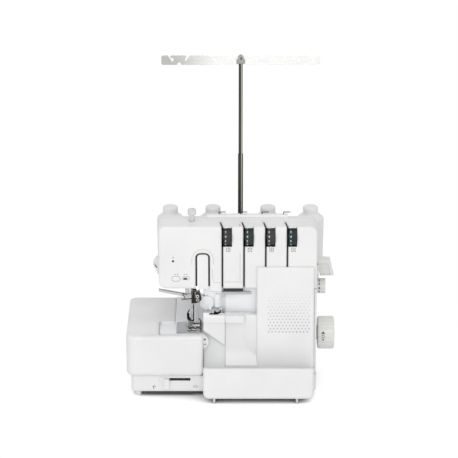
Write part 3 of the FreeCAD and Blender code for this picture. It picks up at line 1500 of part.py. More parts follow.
def selector_lever():
    """A thumb tab in the base's front slot, held by a plate behind the wall."""
    x = base_left + S.selector_left + S.selector_start
    low = base_low + S.selector_slot_low
    high = base_low + S.selector_slot_high
    gap = S.slide_gap
    outside = base_front - gap
    behind = base_front + S.wall + gap
    knob_left = x + S.selector_stem / 2 - S.selector_knob_width / 2
    stem = box(x, x + S.selector_stem, outside - gap, behind + gap, low + gap, high - gap)
    outline = rectangle(knob_left, knob_left + S.selector_knob_width, low - S.selector_knob_drop, high - gap)
    tab = pad("xz", outline, outside - S.selector_knob_depth, outside, [(S.selector_knob_width / 4, [0, 1])])
    plate = box(knob_left - gap, knob_left + S.selector_knob_width + gap, behind, behind + S.selector_plate,
                low - 2 * gap, high + gap / 2)
    return fuse(stem, tab, plate)


def air_pivot():
    return right - S.air_lever_pivot, head_low + S.air_lever_rise


def air_lever():
    """A flared paddle outside the right wall, on an arm that turns on the frame's pin."""
    x, z = air_pivot()
    half = S.air_lever_depth / 2
    start = right + S.air_block_gap
    end = start + S.air_block_width
    points = [(start, z + S.air_block_top), (end - S.air_block_slant, z + S.air_block_top - S.air_block_lean),
              (end, z - S.air_block_low + S.air_block_lean), (start + S.air_block_slant, z - S.air_block_low)]
    paddle = pad("xz", points, shaft_y - half, shaft_y + half)
    round_edges(paddle, S.thin_wall, lies_on(y=shaft_y - half))
    rim = S.air_dish_rim
    dish_points = [(start + 2 * rim, z + S.air_block_top - 2 * rim),
                   (end - S.air_block_slant - rim, z + S.air_block_top - S.air_block_lean - 2 * rim),
                   (end - 2 * rim, z - S.air_block_low + S.air_block_lean + rim),
                   (start + S.air_block_slant + rim, z - S.air_block_low + rim)]
    dish = pad("xz", dish_points, shaft_y - half - rim, shaft_y - half + S.air_dish_depth)
    arm = box(x, start + S.air_block_slant, shaft_y - half, shaft_y + half,
              z - S.air_lever_hub, z + S.air_lever_hub)
    hub = rod("y", shaft_y - half, shaft_y + half, x, z, S.air_lever_hub)
    bore = rod("y", shaft_y - 2 * half, shaft_y + 2 * half, x, z, S.air_lever_pin + S.running)
    return cut(fuse(paddle, arm, hub), bore, dish)


def inlet_block(margin):
    y = back - S.inlet_back - S.inlet_width
    z = base_top + S.inlet_rise
    return box(right - S.inlet_depth - margin, right + margin, y - margin, y + S.inlet_width + margin,
               z - margin, z + S.inlet_height + margin)


def power_inlet():
    y = back - S.inlet_back - S.inlet_width
    z = base_top + S.inlet_rise
    edge = S.inlet_wall
    hollow = box(right - S.inlet_depth + edge, right + edge, y + edge, y + S.inlet_width - edge,
                 z + edge, z + S.inlet_height - edge)
    return cut(inlet_block(0.0), hollow)


def power_switch():
    """A rocker with a shallow hollow face, on a pivot just inside the wall."""
    y = back - S.switch_back - S.switch_width
    z = base_top + S.switch_rise
    half = S.switch_height / 2
    rear = right - S.switch_pivot - S.switch_depth
    face = right + S.switch_proud
    points = [(rear, z - half), (face, z - half), (face - S.switch_proud / 2, z), (face, z + half),
              (rear, z + half)]
    rocker = pad("xz", points, y, y + S.switch_width)
    pivot = rod("y", y - S.switch_stub, y + S.switch_width + S.switch_stub, right - S.switch_pivot, z,
                S.switch_stub_radius)
    return fuse(rocker, pivot)


def motor():
    return rod("x", motor_right - S.motor_length, motor_right, motor_y, motor_z, S.motor_radius)


def spool_stand():
    """The shelf behind the machine that carries the spool pins and the mast."""
    edge = S.stand_half
    outline = rectangle(S.mast_x - edge, S.mast_x + edge, back, back + S.stand_depth)
    return pad("xy", outline, stand_low, stand_top, [(S.stand_corner, [2, 3])])


def spool_pins():
    top = stand_top + S.spool_pin_height
    return group(*[rod("z", stand_top, top, x, spool_y, S.spool_pin_radius) for x in cone_spots])


def cone_holder(i):
    """A bottle-shaped hollow holder whose neck slips over its pin."""
    wall = S.cone_wall
    bore = S.spool_pin_radius + S.running
    top = S.cone_height
    neck = top - S.cone_neck_height
    shoulder = neck - S.cone_shoulder
    inner_neck = neck - 2 * wall
    profile = [(S.cone_low_radius - wall, 0.0), (S.cone_low_radius, 0.0), (S.cone_high_radius, shoulder),
               (S.cone_neck_radius, neck), (S.cone_neck_radius, top), (0.0, top), (0.0, top - S.cone_cap),
               (bore, top - S.cone_cap), (bore, inner_neck), (S.cone_neck_radius - wall, inner_neck),
               (S.cone_high_radius - wall, shoulder - wall)]
    holder = turned(profile, "z", cone_spots[i], spool_y, stand_top + S.seam)
    round_edges(holder, S.cone_shoulder_round, lies_on(z=shoulder))
    round_edges(holder, S.cone_neck_round, lies_on(z=neck), lies_on(z=top))
    return holder


def lower_mast():
    collar = rod("z", stand_top, stand_top + S.mast_collar_height, S.mast_x, spool_y, S.mast_collar_radius)
    pole = rod("z", stand_top, mast_step, S.mast_x, spool_y, S.mast_lower_radius)
    bore = rod("z", stand_top + S.wall, mast_step + S.wall, S.mast_x, spool_y, S.mast_bore_radius)
    return cut(fuse(collar, pole), bore)


def upper_mast():
    return rod("z", mast_step - S.mast_overlap, mast_top, S.mast_x, spool_y, S.mast_upper_radius)


def thread_guide_bar():
    """A thin notched plate behind the mast's tip, with the cap that holds it."""
    y = spool_y + S.mast_upper_radius + S.seam
    low = mast_top - S.guide_drop
    high = low + S.guide_height
    left = S.mast_x - S.guide_half
    side = S.mast_x + S.guide_half
    rounds = [(S.plate_edge, [0, 1, 2, 3])]
    plate = pad("xz", rectangle(left, side, low, high), y, y + S.guide_thickness, rounds)
    front = y - S.wall
    rear = y + S.wall
    slot = S.guide_slot
    deep = S.guide_slot_depth
    slot_low = high - deep
    over = high + S.wall
    cuts = []
    for step in GUIDE_NOTCHES:
        x = S.mast_x + S.guide_notch_pitch * step
        lean = x + deep / 2
        cuts.append(box(x, x + slot, front, rear, slot_low, over))
        cuts.append(rod("y", front, rear, x + slot / 2, slot_low, S.guide_eye))
        slope = [(x + deep, over), (lean, slot_low), (lean + slot, slot_low), (x + deep + slot, over)]
        cuts.append(pad("xz", slope, front, rear))
        cuts.append(rod("y", front, rear, x - deep, low, S.guide_eye))
    cap_box = rectangle(S.mast_x - S.cap_half, S.mast_x + S.cap_half, mast_top, mast_top + S.cap_height)
    cap = pad("xz", cap_box, spool_y - S.cap_depth, y, [(S.plate_edge, [2, 3])])
    return fuse(cut(plate, *cuts), cap)


def pieces():
    """Every piece of the machine by its name."""
    made = {
        "base_pan": base_pan(),
        "rubber_feet": rubber_feet(),
        "main_frame": main_frame(),
        "free_arm_bed": free_arm_bed(),
        "needle_plate": needle_plate(),
        "extension_table": extension_table(),
        "waste_tray": waste_tray(),
        "looper_cover": looper_cover(),
        "hinge_pins": hinge_pins(),
        "knife_cover": knife_cover(),
        "chip_chute": chip_chute(),
        "head_front_cover": head_front_cover(),
        "take_up_guard": take_up_guard(),
        "thread_channel_plate": thread_channel_plate(),
        "rear_cover": rear_cover(),
        "casing_screws": casing_screws(),
        "throat_panel": throat_panel(),
        "upper_knife": upper_knife(),
        "lower_knife": lower_knife(),
        "feed_dogs": feed_dogs(),
        "bushes": bushes(),
        "main_shaft": main_shaft(),
        "drive_pulley": pulley(S.drive_pulley_radius, S.shaft_radius + S.running / 2, shaft_y, shaft_z),
        "motor": motor(),
        "motor_pulley": motor_pulley(),
        "drive_belt": drive_belt(),
        "handwheel": handwheel(),
        "stitch_length_dial": stitch_length_dial(),
        "width_dial": width_dial(),
        "tension_units": tension_units(),
        "thread_guide_rail": thread_guide_rail(),
        "thread_guide_hooks": thread_guide_hooks(),
        "thread_cutter": thread_cutter(),
        "lamp_lens": lamp_lens(),
        "needle_bar": needle_bar(),
        "needle_clamp": needle_clamp(),
        "needles": needles(),
        "presser_bar": presser_bar(),
        "presser_foot": presser_foot(),
        "presser_lever": presser_lever(),
        "pressure_knob": pressure_knob(),
        "selector_lever": selector_lever(),
        "air_lever": air_lever(),
        "power_inlet": power_inlet(),
        "power_switch": power_switch(),
        "spool_stand": spool_stand(),
        "spool_pins": spool_pins(),
        "lower_mast": lower_mast(),
        "upper_mast": upper_mast(),
        "thread_guide_bar": thread_guide_bar(),
    }
    x, z, y = lower_looper_place()
    made["lower_looper"] = looper(x, z, y, S.lower_looper_arm, S.lower_looper_blade, S.lower_looper_tip)
    x, z, y = upper_looper_place()
    made["upper_looper"] = looper(x, z, y, S.upper_looper_arm, S.upper_looper_blade, S.upper_looper_tip)
    for i in DIALS:
        made[f"tension_dial_{i + 1}"] = tension_dial(i)
        made[f"cone_holder_{i + 1}"] = cone_holder(i)
    return made


def check(made):
    """Stop before anything is written if any object failed."""
    for item in doc.Objects:
        if "Invalid" in item.State or "Error" in item.State:
            raise RuntimeError(f"{item.Name} failed: {item.State}")
    for name, piece in made.items():
        if piece.Shape.isNull() or not piece.Shape.isValid() or not piece.Shape.Solids:
            raise RuntimeError(f"{name} has no sound shape")


made = pieces()
doc.recompute()
for name, piece in made.items():
    piece.Label = name
check(made)
os.makedirs("parts", exist_ok=True)
for name, piece in made.items():
    piece.Shape.exportStep(f"parts/{name}.step")
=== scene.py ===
import math

import bmesh
import bpy
from bpy.props import FloatProperty, FloatVectorProperty, PointerProperty
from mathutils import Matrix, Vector


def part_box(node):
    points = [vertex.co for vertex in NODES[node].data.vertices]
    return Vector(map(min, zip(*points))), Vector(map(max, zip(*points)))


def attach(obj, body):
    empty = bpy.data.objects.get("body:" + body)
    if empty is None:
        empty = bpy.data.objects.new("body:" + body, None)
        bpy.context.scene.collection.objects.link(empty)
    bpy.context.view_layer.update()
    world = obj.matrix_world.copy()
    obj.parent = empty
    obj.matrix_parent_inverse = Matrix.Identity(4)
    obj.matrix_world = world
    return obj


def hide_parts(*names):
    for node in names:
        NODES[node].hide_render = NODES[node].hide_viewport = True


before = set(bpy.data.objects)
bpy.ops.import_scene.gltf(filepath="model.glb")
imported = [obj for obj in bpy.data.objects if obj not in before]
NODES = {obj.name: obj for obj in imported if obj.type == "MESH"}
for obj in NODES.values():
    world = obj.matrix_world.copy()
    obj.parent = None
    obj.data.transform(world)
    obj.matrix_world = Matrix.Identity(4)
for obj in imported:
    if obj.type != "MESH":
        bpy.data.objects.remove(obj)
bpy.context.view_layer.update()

bl_info = {
    "name": "Serger Looks",
    "version": (1, 0, 0),
    "blender": (4, 5, 0),
    "location": "View3D > Sidebar > Serger",
    "description": "Dresses the serger's frame with its finishes, prints and small fittings",
    "category": "Object",
}

DIALS = (1, 2, 3, 4)
MM = 0.001

# kinds of sockets, and the colour sockets' numbers in a mix node

VALUE = "NodeSocketFloat"
VECTOR = "NodeSocketVector"
MIX_FIRST, MIX_SECOND, MIX_RESULT = 6, 7, 2

# how finishes vary: the noise's middle range, depths in metres, and how edges are painted paler, as rubbed
# wear and as a painted highlight

NOISE_LOW, NOISE_HIGH = 0.35, 0.65
GRAIN_DEPTH = 0.00002
BRUSH_DEPTH = 0.000008
RUB_HIGHLIGHT_GAIN, RUB_HIGHLIGHT_LIFT = 1.12, 0.02
METAL_RUB_HIGHLIGHT, METAL_RUB_HIGHLIGHT_GAIN = 1.5, 1.25

# small measures of prints and edges, in millimetres, and the numerals' weight as a share of their size

HAIR = 0.02
WELD = HAIR / 10
PRINT_SINK = 0.05
NUMERAL_DEPTH = 0.1
NUMERAL_WEIGHT = 0.03
SOFT_ANGLE = math.radians(35.0)


# properties that share their settings

def colour_value(name, description, default):
    return FloatVectorProperty(name=name, description=description, default=default, subtype="COLOR", size=3,
                               min=0.0, max=1.0)


def length_value(name, description, default):
    return FloatProperty(name=name, description=description, default=default, unit="LENGTH", min=0.0)


def light_value(name, description, default, subtype="NONE"):
    return FloatProperty(name=name, description=description, default=default, subtype=subtype, min=0.0)


class SergerColours(bpy.types.PropertyGroup):
    """Colours of the machine's finishes, as linear values."""

    shell: colour_value("Shell", "White of the moulded covers", (0.86, 0.86, 0.855))
    shell_shade: colour_value("Shell shade", "Deeper white in the moulding's clouds", (0.82, 0.822, 0.822))
    control: colour_value("Controls", "Warm light grey of wheel, paddle and dial", (0.80, 0.80, 0.775))
    steel: colour_value("Steel", "Bright plated steel", (0.66, 0.66, 0.65))
    plate: colour_value("Needle plate", "Grey satin steel of the needle plate", (0.77, 0.78, 0.795))
    mast: colour_value("Mast", "Warm dark metal of the mast", (0.075, 0.072, 0.06))
    black: colour_value("Black", "Black plastic behind the slots", (0.012, 0.013, 0.013))


class SergerSizes(bpy.types.PropertyGroup):
    """Sizes of the soft edges and the prints, in metres."""

    edge_round: length_value("Edge softness", "How far the moulded edges look rounded", 0.0007)
    print_lift: length_value("Print lift", "How far prints stand proud of their cover", 0.00012)
    line_width: length_value("Guide line", "Width of the printed thread guide lines", 0.0005)
    cover_lean: length_value("Cover lean", "How far the looper cover leans back from foot to top", 0.0095)


class SergerStage(bpy.types.PropertyGroup):
    """Camera and light."""

    distance: length_value("Camera distance", "From the camera to what it looks at", 4.0)
    elevation: FloatProperty(name="Elevation", description="Camera's angle above the table",
                             default=math.radians(20.0), subtype="ANGLE")
    target: FloatVectorProperty(name="Target", description="The point that the camera looks at",
                                default=(-0.0039, -0.0856, 0.3163), subtype="XYZ", unit="LENGTH", size=3)
    focal: FloatProperty(name="Focal length", description="In millimetres, on a 36 mm sensor", default=174.7)
    fill_front: light_value("Fill in front", "Strength of the surrounding light in front", 1.12)
    fill_back: light_value("Fill behind", "Strength of the surrounding light behind", 0.72)
    sides: light_value("Fall-off at the sides", "How much less light comes from either side", 0.45)
    front: light_value("Front light", "Power of the low soft light in front", 2.6, "POWER")
    sewing: light_value("Sewing lamp", "Power of the machine's own lamp under the head", 0.016, "POWER")
    contact: length_value("Contact shadow", "How far the floor darkens under the machine", 0.08)


def colours():
    return bpy.context.scene.serger_colours


def sizes():
    return bpy.context.scene.serger_sizes


def stage_values():
    return bpy.context.scene.serger_stage


# shader nodes

def add(tree, kind, **settings):
    """A new node with its settings."""
    node = tree.nodes.new(kind)
    for name, value in settings.items():
        setattr(node, name, value)
    return node


def preset(node, **values):
    """Sets a node's inputs, whose names are given in lower case, and returns the node."""
    for label, value in values.items():
        node.inputs[label.replace("_", " ").title()].default_value = value
    return node


def join(tree, *links):
    """Links nodes; a link is the giving node, its output, the taking node and its input."""
    for giver, output, taker, socket in links:
        tree.links.new(giver.outputs[output], taker.inputs[socket])


def spread(tree, noise, output, low=0.0, high=1.0):
    """A node that maps the middle range of a noise onto low to high."""
    node = preset(add(tree, "ShaderNodeMapRange"), from_min=NOISE_LOW, from_max=NOISE_HIGH,
                  to_min=low, to_max=high)
    join(tree, (noise, output, node, "Value"))
    return node


def new_group(name, inputs, outputs):
    """An empty shader group with named sockets, and its end nodes."""
    group = bpy.data.node_groups.new(name, "ShaderNodeTree")
    for label, kind, default in inputs:
        socket = group.interface.new_socket(name=label, in_out="INPUT", socket_type=kind)
        socket.default_value = default
    for label, kind in outputs:
        group.interface.new_socket(name=label, in_out="OUTPUT", socket_type=kind)
    return group, group.nodes.new("NodeGroupInput"), group.nodes.new("NodeGroupOutput")


def moulded_skin():
    """Fine grain and slow clouds of moulded plastic."""
    group, enter, leave = new_group(
        "moulded_skin",
        [("Grain Scale", VALUE, 1600.0), ("Cloud Scale", VALUE, 14.0)],
        [("Height", VALUE), ("Cloud", VALUE)])
    place = add(group, "ShaderNodeTexCoord")
    grain = preset(add(group, "ShaderNodeTexNoise"), detail=3.0)
    cloud = preset(add(group, "ShaderNodeTexNoise"), detail=4.0)
    join(group, (place, "Object", grain, "Vector"), (place, "Object", cloud, "Vector"),
         (enter, "Grain Scale", grain, "Scale"), (enter, "Cloud Scale", cloud, "Scale"),
         (grain, "Fac", leave, "Height"), (spread(group, cloud, "Fac"), "Result", leave, "Cloud"))
    return group


def soft_edges():
    """A rounded normal and a mask along the edges for paleness that is both rubbed wear and a painted
    highlight.
    """
    group, enter, leave = new_group(
        "soft_edges",
        [("Radius", VALUE, 0.0007), ("Rub", VALUE, 4.0)],
        [("Normal", VECTOR), ("Edge", VALUE)])
    bevel = add(group, "ShaderNodeBevel", samples=6)
    geometry = add(group, "ShaderNodeNewGeometry")
    dot = add(group, "ShaderNodeVectorMath", operation="DOT_PRODUCT")
    turn = add(group, "ShaderNodeMath", operation="SUBTRACT")
    turn.inputs[0].default_value = 1.0
    rub = add(group, "ShaderNodeMath", operation="MULTIPLY", use_clamp=True)
    join(group, (enter, "Radius", bevel, "Radius"), (bevel, "Normal", dot, 0), (geometry, "Normal", dot, 1),
         (dot, "Value", turn, 1), (turn, "Value", rub, 0), (enter, "Rub", rub, 1),
         (bevel, "Normal", leave, "Normal"), (rub, "Value", leave, "Edge"))
    return group


def brushed_lines():
    """Streaks drawn out along one direction, as on turned or brushed metal."""
    group, enter, leave = new_group(
        "brushed_lines",
        [("Stretch", VECTOR, (40.0, 2500.0, 2500.0))],
        [("Height", VALUE), ("Streak", VALUE)])
    place = add(group, "ShaderNodeTexCoord")
    scale = add(group, "ShaderNodeVectorMath", operation="MULTIPLY")
    streak = preset(add(group, "ShaderNodeTexNoise"), scale=1.0, detail=4.0)
    join(group, (place, "Object", scale, 0), (enter, "Stretch", scale, 1),
         (scale, "Vector", streak, "Vector"), (streak, "Fac", leave, "Height"),
         (spread(group, streak, "Fac"), "Result", leave, "Streak"))
    return group


def group_node(tree, maker, **values):
    """A shared group, made at its first use, placed in a material with its own values."""
    group = bpy.data.node_groups.get(maker.__name__) or maker()
    return preset(add(tree, "ShaderNodeGroup", node_tree=group), **values)


# materials

def scaled(values, share):
    """A colour or point with each value times a share."""
    return [value * share for value in values]


def new_material(name):
    """A new material, its node tree and its shader."""
    material = bpy.data.materials.new(name)
    material.use_nodes = True
    return material, material.node_tree, material.node_tree.nodes["Principled BSDF"]


def mixed(tree, mask, output, first, second):
    """A node that mixes two colours by a mask; the first may be another mix."""
    node = add(tree, "ShaderNodeMix", data_type="RGBA")
    node.inputs[MIX_SECOND].default_value = (*second, 1.0)
    join(tree, (mask, output, node, "Factor"))
    if isinstance(first, bpy.types.Node):
        join(tree, (first, MIX_RESULT, node, MIX_FIRST))
    else:
        node.inputs[MIX_FIRST].default_value = (*first, 1.0)
    return node


def surface(tree, shader, texture, mask, edges, tone, pale, rough, depth):
    """Gives a shader its tone with paler edges, its roughness and its fine relief."""
    bump = preset(add(tree, "ShaderNodeBump"), strength=1.0, distance=depth)
    join(tree, (mixed(tree, edges, "Edge", tone, pale), MIX_RESULT, shader, "Base Color"),
         (spread(tree, texture, mask, *rough), "Result", shader, "Roughness"),
         (texture, "Height", bump, "Height"), (edges, "Normal", bump, "Normal"),
         (bump, "Normal", shader, "Normal"))


def moulded(name, colour, shade, rough=(0.34, 0.44), rub=0.5, soft=1.0, gloss=0.5, clear=0.0):
    """Moulded plastic: clouded colour, fine grain and edges painted paler as rubbed wear and as a painted
    highlight, whose turn soft makes wider.
    """
    material, tree, shader = new_material(name)
    grain = group_node(tree, moulded_skin)
    edges = group_node(tree, soft_edges, radius=sizes().edge_round * soft, rub=rub)
    # edges painted paler: rubbed wear and a painted highlight
    pale = [min(1.0, channel * RUB_HIGHLIGHT_GAIN + RUB_HIGHLIGHT_LIFT) for channel in colour]
    tone = mixed(tree, grain, "Cloud", colour, shade)
    surface(tree, shader, grain, "Cloud", edges, tone, pale, rough, GRAIN_DEPTH)
    shader.inputs["Specular IOR Level"].default_value = gloss
    shader.inputs["Transmission Weight"].default_value = clear
    return material


def metal(name, colour, rough=(0.22, 0.38), stretch=(40.0, 2500.0, 2500.0), low=0.72):
    """Brushed or turned metal: streaked colour and gloss; low is the darkest streak's share."""
    material, tree, shader = new_material(name)
    lines = group_node(tree, brushed_lines, stretch=stretch)
    edges = group_node(tree, soft_edges, radius=sizes().edge_round / 2, rub=METAL_RUB_HIGHLIGHT)
    # edges painted brighter: rubbed wear and a painted highlight
    pale = [min(1.0, channel * METAL_RUB_HIGHLIGHT_GAIN) for channel in colour]
    tone = mixed(tree, lines, "Streak", scaled(colour, low), colour)
    surface(tree, shader, lines, "Height", edges, tone, pale, rough, BRUSH_DEPTH)
    shader.inputs["Metallic"].default_value = 1.0
    return material


def dress(material, *nodes):
    """Gives CAD nodes their finish."""
    for node in nodes:
        piece = NODES[node]
        if not piece.material_slots:
            piece.data.materials.append(material)
        for slot in piece.material_slots:
            slot.material = material


def seen_mask(tree):
    """One for what the camera sees straight, in gloss or through glass, and nothing for other light."""
    path = add(tree, "ShaderNodeLightPath")
    mirrored = add(tree, "ShaderNodeMath", operation="MAXIMUM")
    seen = add(tree, "ShaderNodeMath", operation="MAXIMUM")
    join(tree, (path, "Is Camera Ray", mirrored, 0), (path, "Is Glossy Ray", mirrored, 1),
         (mirrored, "Value", seen, 0), (path, "Is Transmission Ray", seen, 1))
    return seen


# places in the frame, in millimetres

def node_box(node):
    """A node's lowest and highest corners."""
    low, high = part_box(node)
    return [value / MM for value in low], [value / MM for value in high]


def middle_of(node):
    """The middle of a node's box."""
    low, high = node_box(node)
    return [(a + b) / 2 for a, b in zip(low, high)]


def drum(node):
    """The middle in Y and Z and the radius of a round node that turns about X."""
    low, high = node_box(node)
    return (*middle_of(node)[1:], (high[2] - low[2]) / 2)


def moved(points, *start):
    """Flat or solid points that are measured from a start."""
    return [tuple(a + b for a, b in zip(start, point)) for point in points]


# outlines, and places that turn an outline's point and a level into a point in space

def facing_front(a, b, level):
    """Outline in X and Z, level along Y."""
    return (a, level, b)


def facing_side(a, b, level):
    """Outline in Y and Z, level along X."""
    return (level, a, b)


def facing_up(a, b, level):
    """Outline in X and Y, level along Z."""
    return (a, b, level)


def on_drum(centre_y, centre_z, radius, left, angle):
    """Outline laid on a drum along X, from left on and at an angle above its front, level outwards."""
    def place(a, b, level):
        turn = angle + b / radius
        return (left + a, centre_y - level * math.cos(turn), centre_z + level * math.sin(turn))
    return place


def rectangle(a0, a1, b0, b1):
    return [(a0, b0), (a1, b0), (a1, b1), (a0, b1)]


def circle(a, b, radius, count=24):
    turn = 2 * math.pi / count
    return [(a + radius * math.cos(turn * i), b + radius * math.sin(turn * i)) for i in range(count)]


def hexagon(a, b, radius, count=24):
    """A hexagon with as many points as a circle, for a screw's socket."""
    points = []
    for i in range(count):
        turn = 2 * math.pi * i / count
        reach = radius * math.cos(math.pi / 6) / math.cos(turn % (math.pi / 3) - math.pi / 6)
        points.append((a + reach * math.cos(turn), b + reach * math.sin(turn)))
    return points


def rounded(a0, a1, b0, b1, radius, steps=5):
    """A rectangle with round corners."""
    points = []
    corners = ((a1 - radius, b1 - radius), (a0 + radius, b1 - radius),
               (a0 + radius, b0 + radius), (a1 - radius, b0 + radius))
    for quarter, (a, b) in enumerate(corners):
        for i in range(steps + 1):
            angle = math.pi / 2 * (quarter + i / steps)
            points.append((a + radius * math.cos(angle), b + radius * math.sin(angle)))
    return points


def stroke(points, width, closed=False):
    """The outline of a line of even width; a closed line ends a hair before its start."""
    left, right = [], []
    first, last = (points[-1], points[0]) if closed else (points[0], points[-1])
    for before, (a, b), after in zip([first, *points], points, [*points[1:], last]):
        along = Vector((after[0] - before[0], after[1] - before[1])).normalized()
        across = Vector((-along.y, along.x)) * width / 2
        left.append((a + across.x, b + across.y))
        right.append((a - across.x, b - across.y))
    if closed:
        back = (Vector(points[-1]) - Vector(points[0])).normalized() * HAIR
        for side in (left, right):
            side.append((side[0][0] + back.x, side[0][1] + back.y))
    return left + right[::-1]


# pieces

def loop(work, outline, place, level):
    """New points of an outline at a level."""
    return [work.verts.new(place(a, b, level)) for a, b in outline]


def skin(work, *loops):
    """Faces between each closed loop of points and the next."""
    for first, second in zip(loops, loops[1:]):
        for i in range(len(first)):
            j = (i + 1) % len(first)
            work.faces.new((first[i], first[j], second[j], second[i]))


def prism(work, outline, place, low, high):
    """A closed solid between two copies of a flat outline."""
    bottom, top = [loop(work, outline, place, level) for level in (low, high)]
    work.faces.new(bottom[::-1])
    work.faces.new(top)
    skin(work, bottom, top)


def ring(work, outer, inner, place, low, high):
    """A closed solid between an outer and an inner outline with as many points."""
    edges = ((outer, low), (outer, high), (inner, high), (inner, low))
    loops = [loop(work, outline, place, level) for outline, level in edges]
    skin(work, *loops, loops[0])


def link_piece(name, data, body, finish):
    """Puts a mesh or curve, with a finish made before, into the scene as a piece that rides on a body."""
    data.materials.append(bpy.data.materials[finish])
    piece = bpy.data.objects.new(name, data)
    bpy.context.scene.collection.objects.link(piece)
    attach(piece, body)
    return piece


def built(name, body, slot, finish, build):
    """A piece from a function that fills a bmesh in millimetres."""
    work = bmesh.new()
    build(work)
    bmesh.ops.scale(work, vec=(MM, MM, MM), verts=work.verts)
    bmesh.ops.recalc_face_normals(work, faces=work.faces)
    mesh = bpy.data.meshes.new(name)
    work.to_mesh(mesh)
    work.free()
    return link_piece(name, mesh, body, finish)


def soften(piece, width):
    """Rounds a piece's edges."""
    bevel = piece.modifiers.new("round", "BEVEL")
    bevel.width = width * MM
    bevel.segments = 2
    bevel.limit_method = "ANGLE"
    bevel.angle_limit = SOFT_ANGLE
    return piece


def block(name, body, slot, finish, shapes, edge=0.5):
    """A piece of one or more prisms with softened edges; a shape is (outline, place, low, high)."""
    def build(work):
        for shape in shapes:
            prism(work, *shape)
    return soften(built(name, body, slot, finish, build), edge)


def socket_screw(name, body, finish, middle, radii, face, height, edge):
    """A round screw head that faces the front and has a hexagonal socket."""
    def build(work):
        head, socket = radii
        ring(work, circle(*middle, head), hexagon(*middle, socket), facing_front, face, face + height)
    soften(built(name, body, "steel", finish, build), edge)


def tube(name, body, slot, finish, points, radius):
    """A bent wire through points in millimetres."""
    curve = bpy.data.curves.new(name, "CURVE")
    curve.dimensions = "3D"
    curve.bevel_depth = radius * MM
    curve.bevel_resolution = 3
    curve.use_fill_caps = True
    line = curve.splines.new("NURBS")
    line.points.add(len(points) - 1)
    for point, spot in zip(line.points, points):
        point.co = (*scaled(spot, MM), 1.0)
    line.use_endpoint_u = True
    line.order_u = 3
    link_piece(name, curve, body, finish)


def printed(name, body, slot, finish, outlines, start, face, place=facing_front):
    """Thin raised prints on a face at a level; the outlines are measured from a start on it."""
    lift = sizes().print_lift / MM
    sign = 1.0 if place is facing_up else -1.0

    def build(work):
        for outline in outlines:
            prism(work, moved(outline, *start), place, face - sign * PRINT_SINK, face + sign * lift)
    built(name, body, slot, finish, build)


def numeral_mesh(text, size):
    """A thin solid numeral as triangles, centred, in millimetres."""
    curve = bpy.data.curves.new("numeral", "FONT")
    curve.body = text
    curve.size = size
    curve.align_x = "CENTER"
    curve.align_y = "CENTER"
    curve.extrude = NUMERAL_DEPTH
    curve.offset = size * NUMERAL_WEIGHT
    curve.resolution_u = 3
    holder = bpy.data.objects.new("numeral", curve)
    mesh = bpy.data.meshes.new_from_object(holder)
    bpy.data.objects.remove(holder)
    bpy.data.curves.remove(curve)
    return mesh


def drum_numerals(name, dial, slot, finish, labels, size, left):
    """Numerals laid around a dial; labels are (text, angle above the front)."""
    centre_y, centre_z, radius = drum(dial)

    def build(work):
        for text, angle in labels:
            place = on_drum(centre_y, centre_z, radius, left, angle)
            mesh = numeral_mesh(text, size)
            verts = []
            for vertex in mesh.vertices:
                along, up, depth = vertex.co
                verts.append(work.verts.new(place(along, up, radius + depth)))
            for polygon in mesh.polygons:
                work.faces.new([verts[i] for i in polygon.vertices])
            bpy.data.meshes.remove(mesh)
        bmesh.ops.remove_doubles(work, verts=work.verts, dist=WELD)
        bmesh.ops.dissolve_degenerate(work, dist=WELD, edges=work.edges)
    built(name, dial, slot, finish, build)


class SERGER_OT_casing(bpy.types.Operator):
    """Finish the white covers, the table, the tray and the stand"""

    bl_idname = "serger.casing"
    bl_label = "Casing"

    def execute(self, context):
        white = (colours().shell, colours().shell_shade)
        dress(moulded("shell_white", *white), "rear_cover", "base_pan", "take_up_guard", "looper_cover",
              "knife_cover", "spool_stand", "thread_guide_rail", "selector_lever", "width_dial",
              "thread_cutter", "rubber_feet", *[f"cone_holder_{i}" for i in DIALS])
        dress(moulded("shell_rolled", *white, rub=0.0, soft=11.0), "extension_table", "waste_tray")
        dress(moulded("shell_pressed", *white, rub=0.0, soft=7.0), "head_front_cover")
        # brighter, bluish white for the throat panel and arm bed under the head: painted light that lifts
        # their shade, tinted like that shade
        recess_painted_light = moulded("shell_recess_painted_light", (0.91, 0.925, 0.94), (0.885, 0.90, 0.915))
        dress(recess_painted_light, "throat_panel", "free_arm_bed")
        dress(moulded("chute_grey", (0.78, 0.785, 0.79), (0.74, 0.745, 0.75)), "chip_chute")
        return {"FINISHED"}


class SERGER_OT_controls(bpy.types.Operator):
    """Finish the handwheel, dials, paddle, switch and knob"""

    bl_idname = "serger.controls"
    bl_label = "Controls"

    def execute(self, context):
        grey = moulded("control_grey", colours().control, scaled(colours().control, 0.95))
        dress(grey, "handwheel", "stitch_length_dial", "air_lever")
        black = moulded("black_plastic", colours().black, scaled(colours().black, 1.6), rub=1.5)
        dress(black, "thread_channel_plate", "power_switch", "power_inlet", "drive_belt")
        tints = ((0.046, 0.047, 0.042), (0.024, 0.047, 0.040), (0.052, 0.052, 0.052), (0.016, 0.036, 0.042))
        for i, tint in zip(DIALS, tints):
            dress(moulded(f"dial_{i}", tint, scaled(tint, 0.8), rub=1.0, gloss=0.25), f"tension_dial_{i}")
        clear = moulded("knob_clear", (0.86, 0.87, 0.87), (0.82, 0.83, 0.83), rough=(0.18, 0.28), clear=0.35)
        dress(clear, "pressure_knob", "lamp_lens")
        return {"FINISHED"}


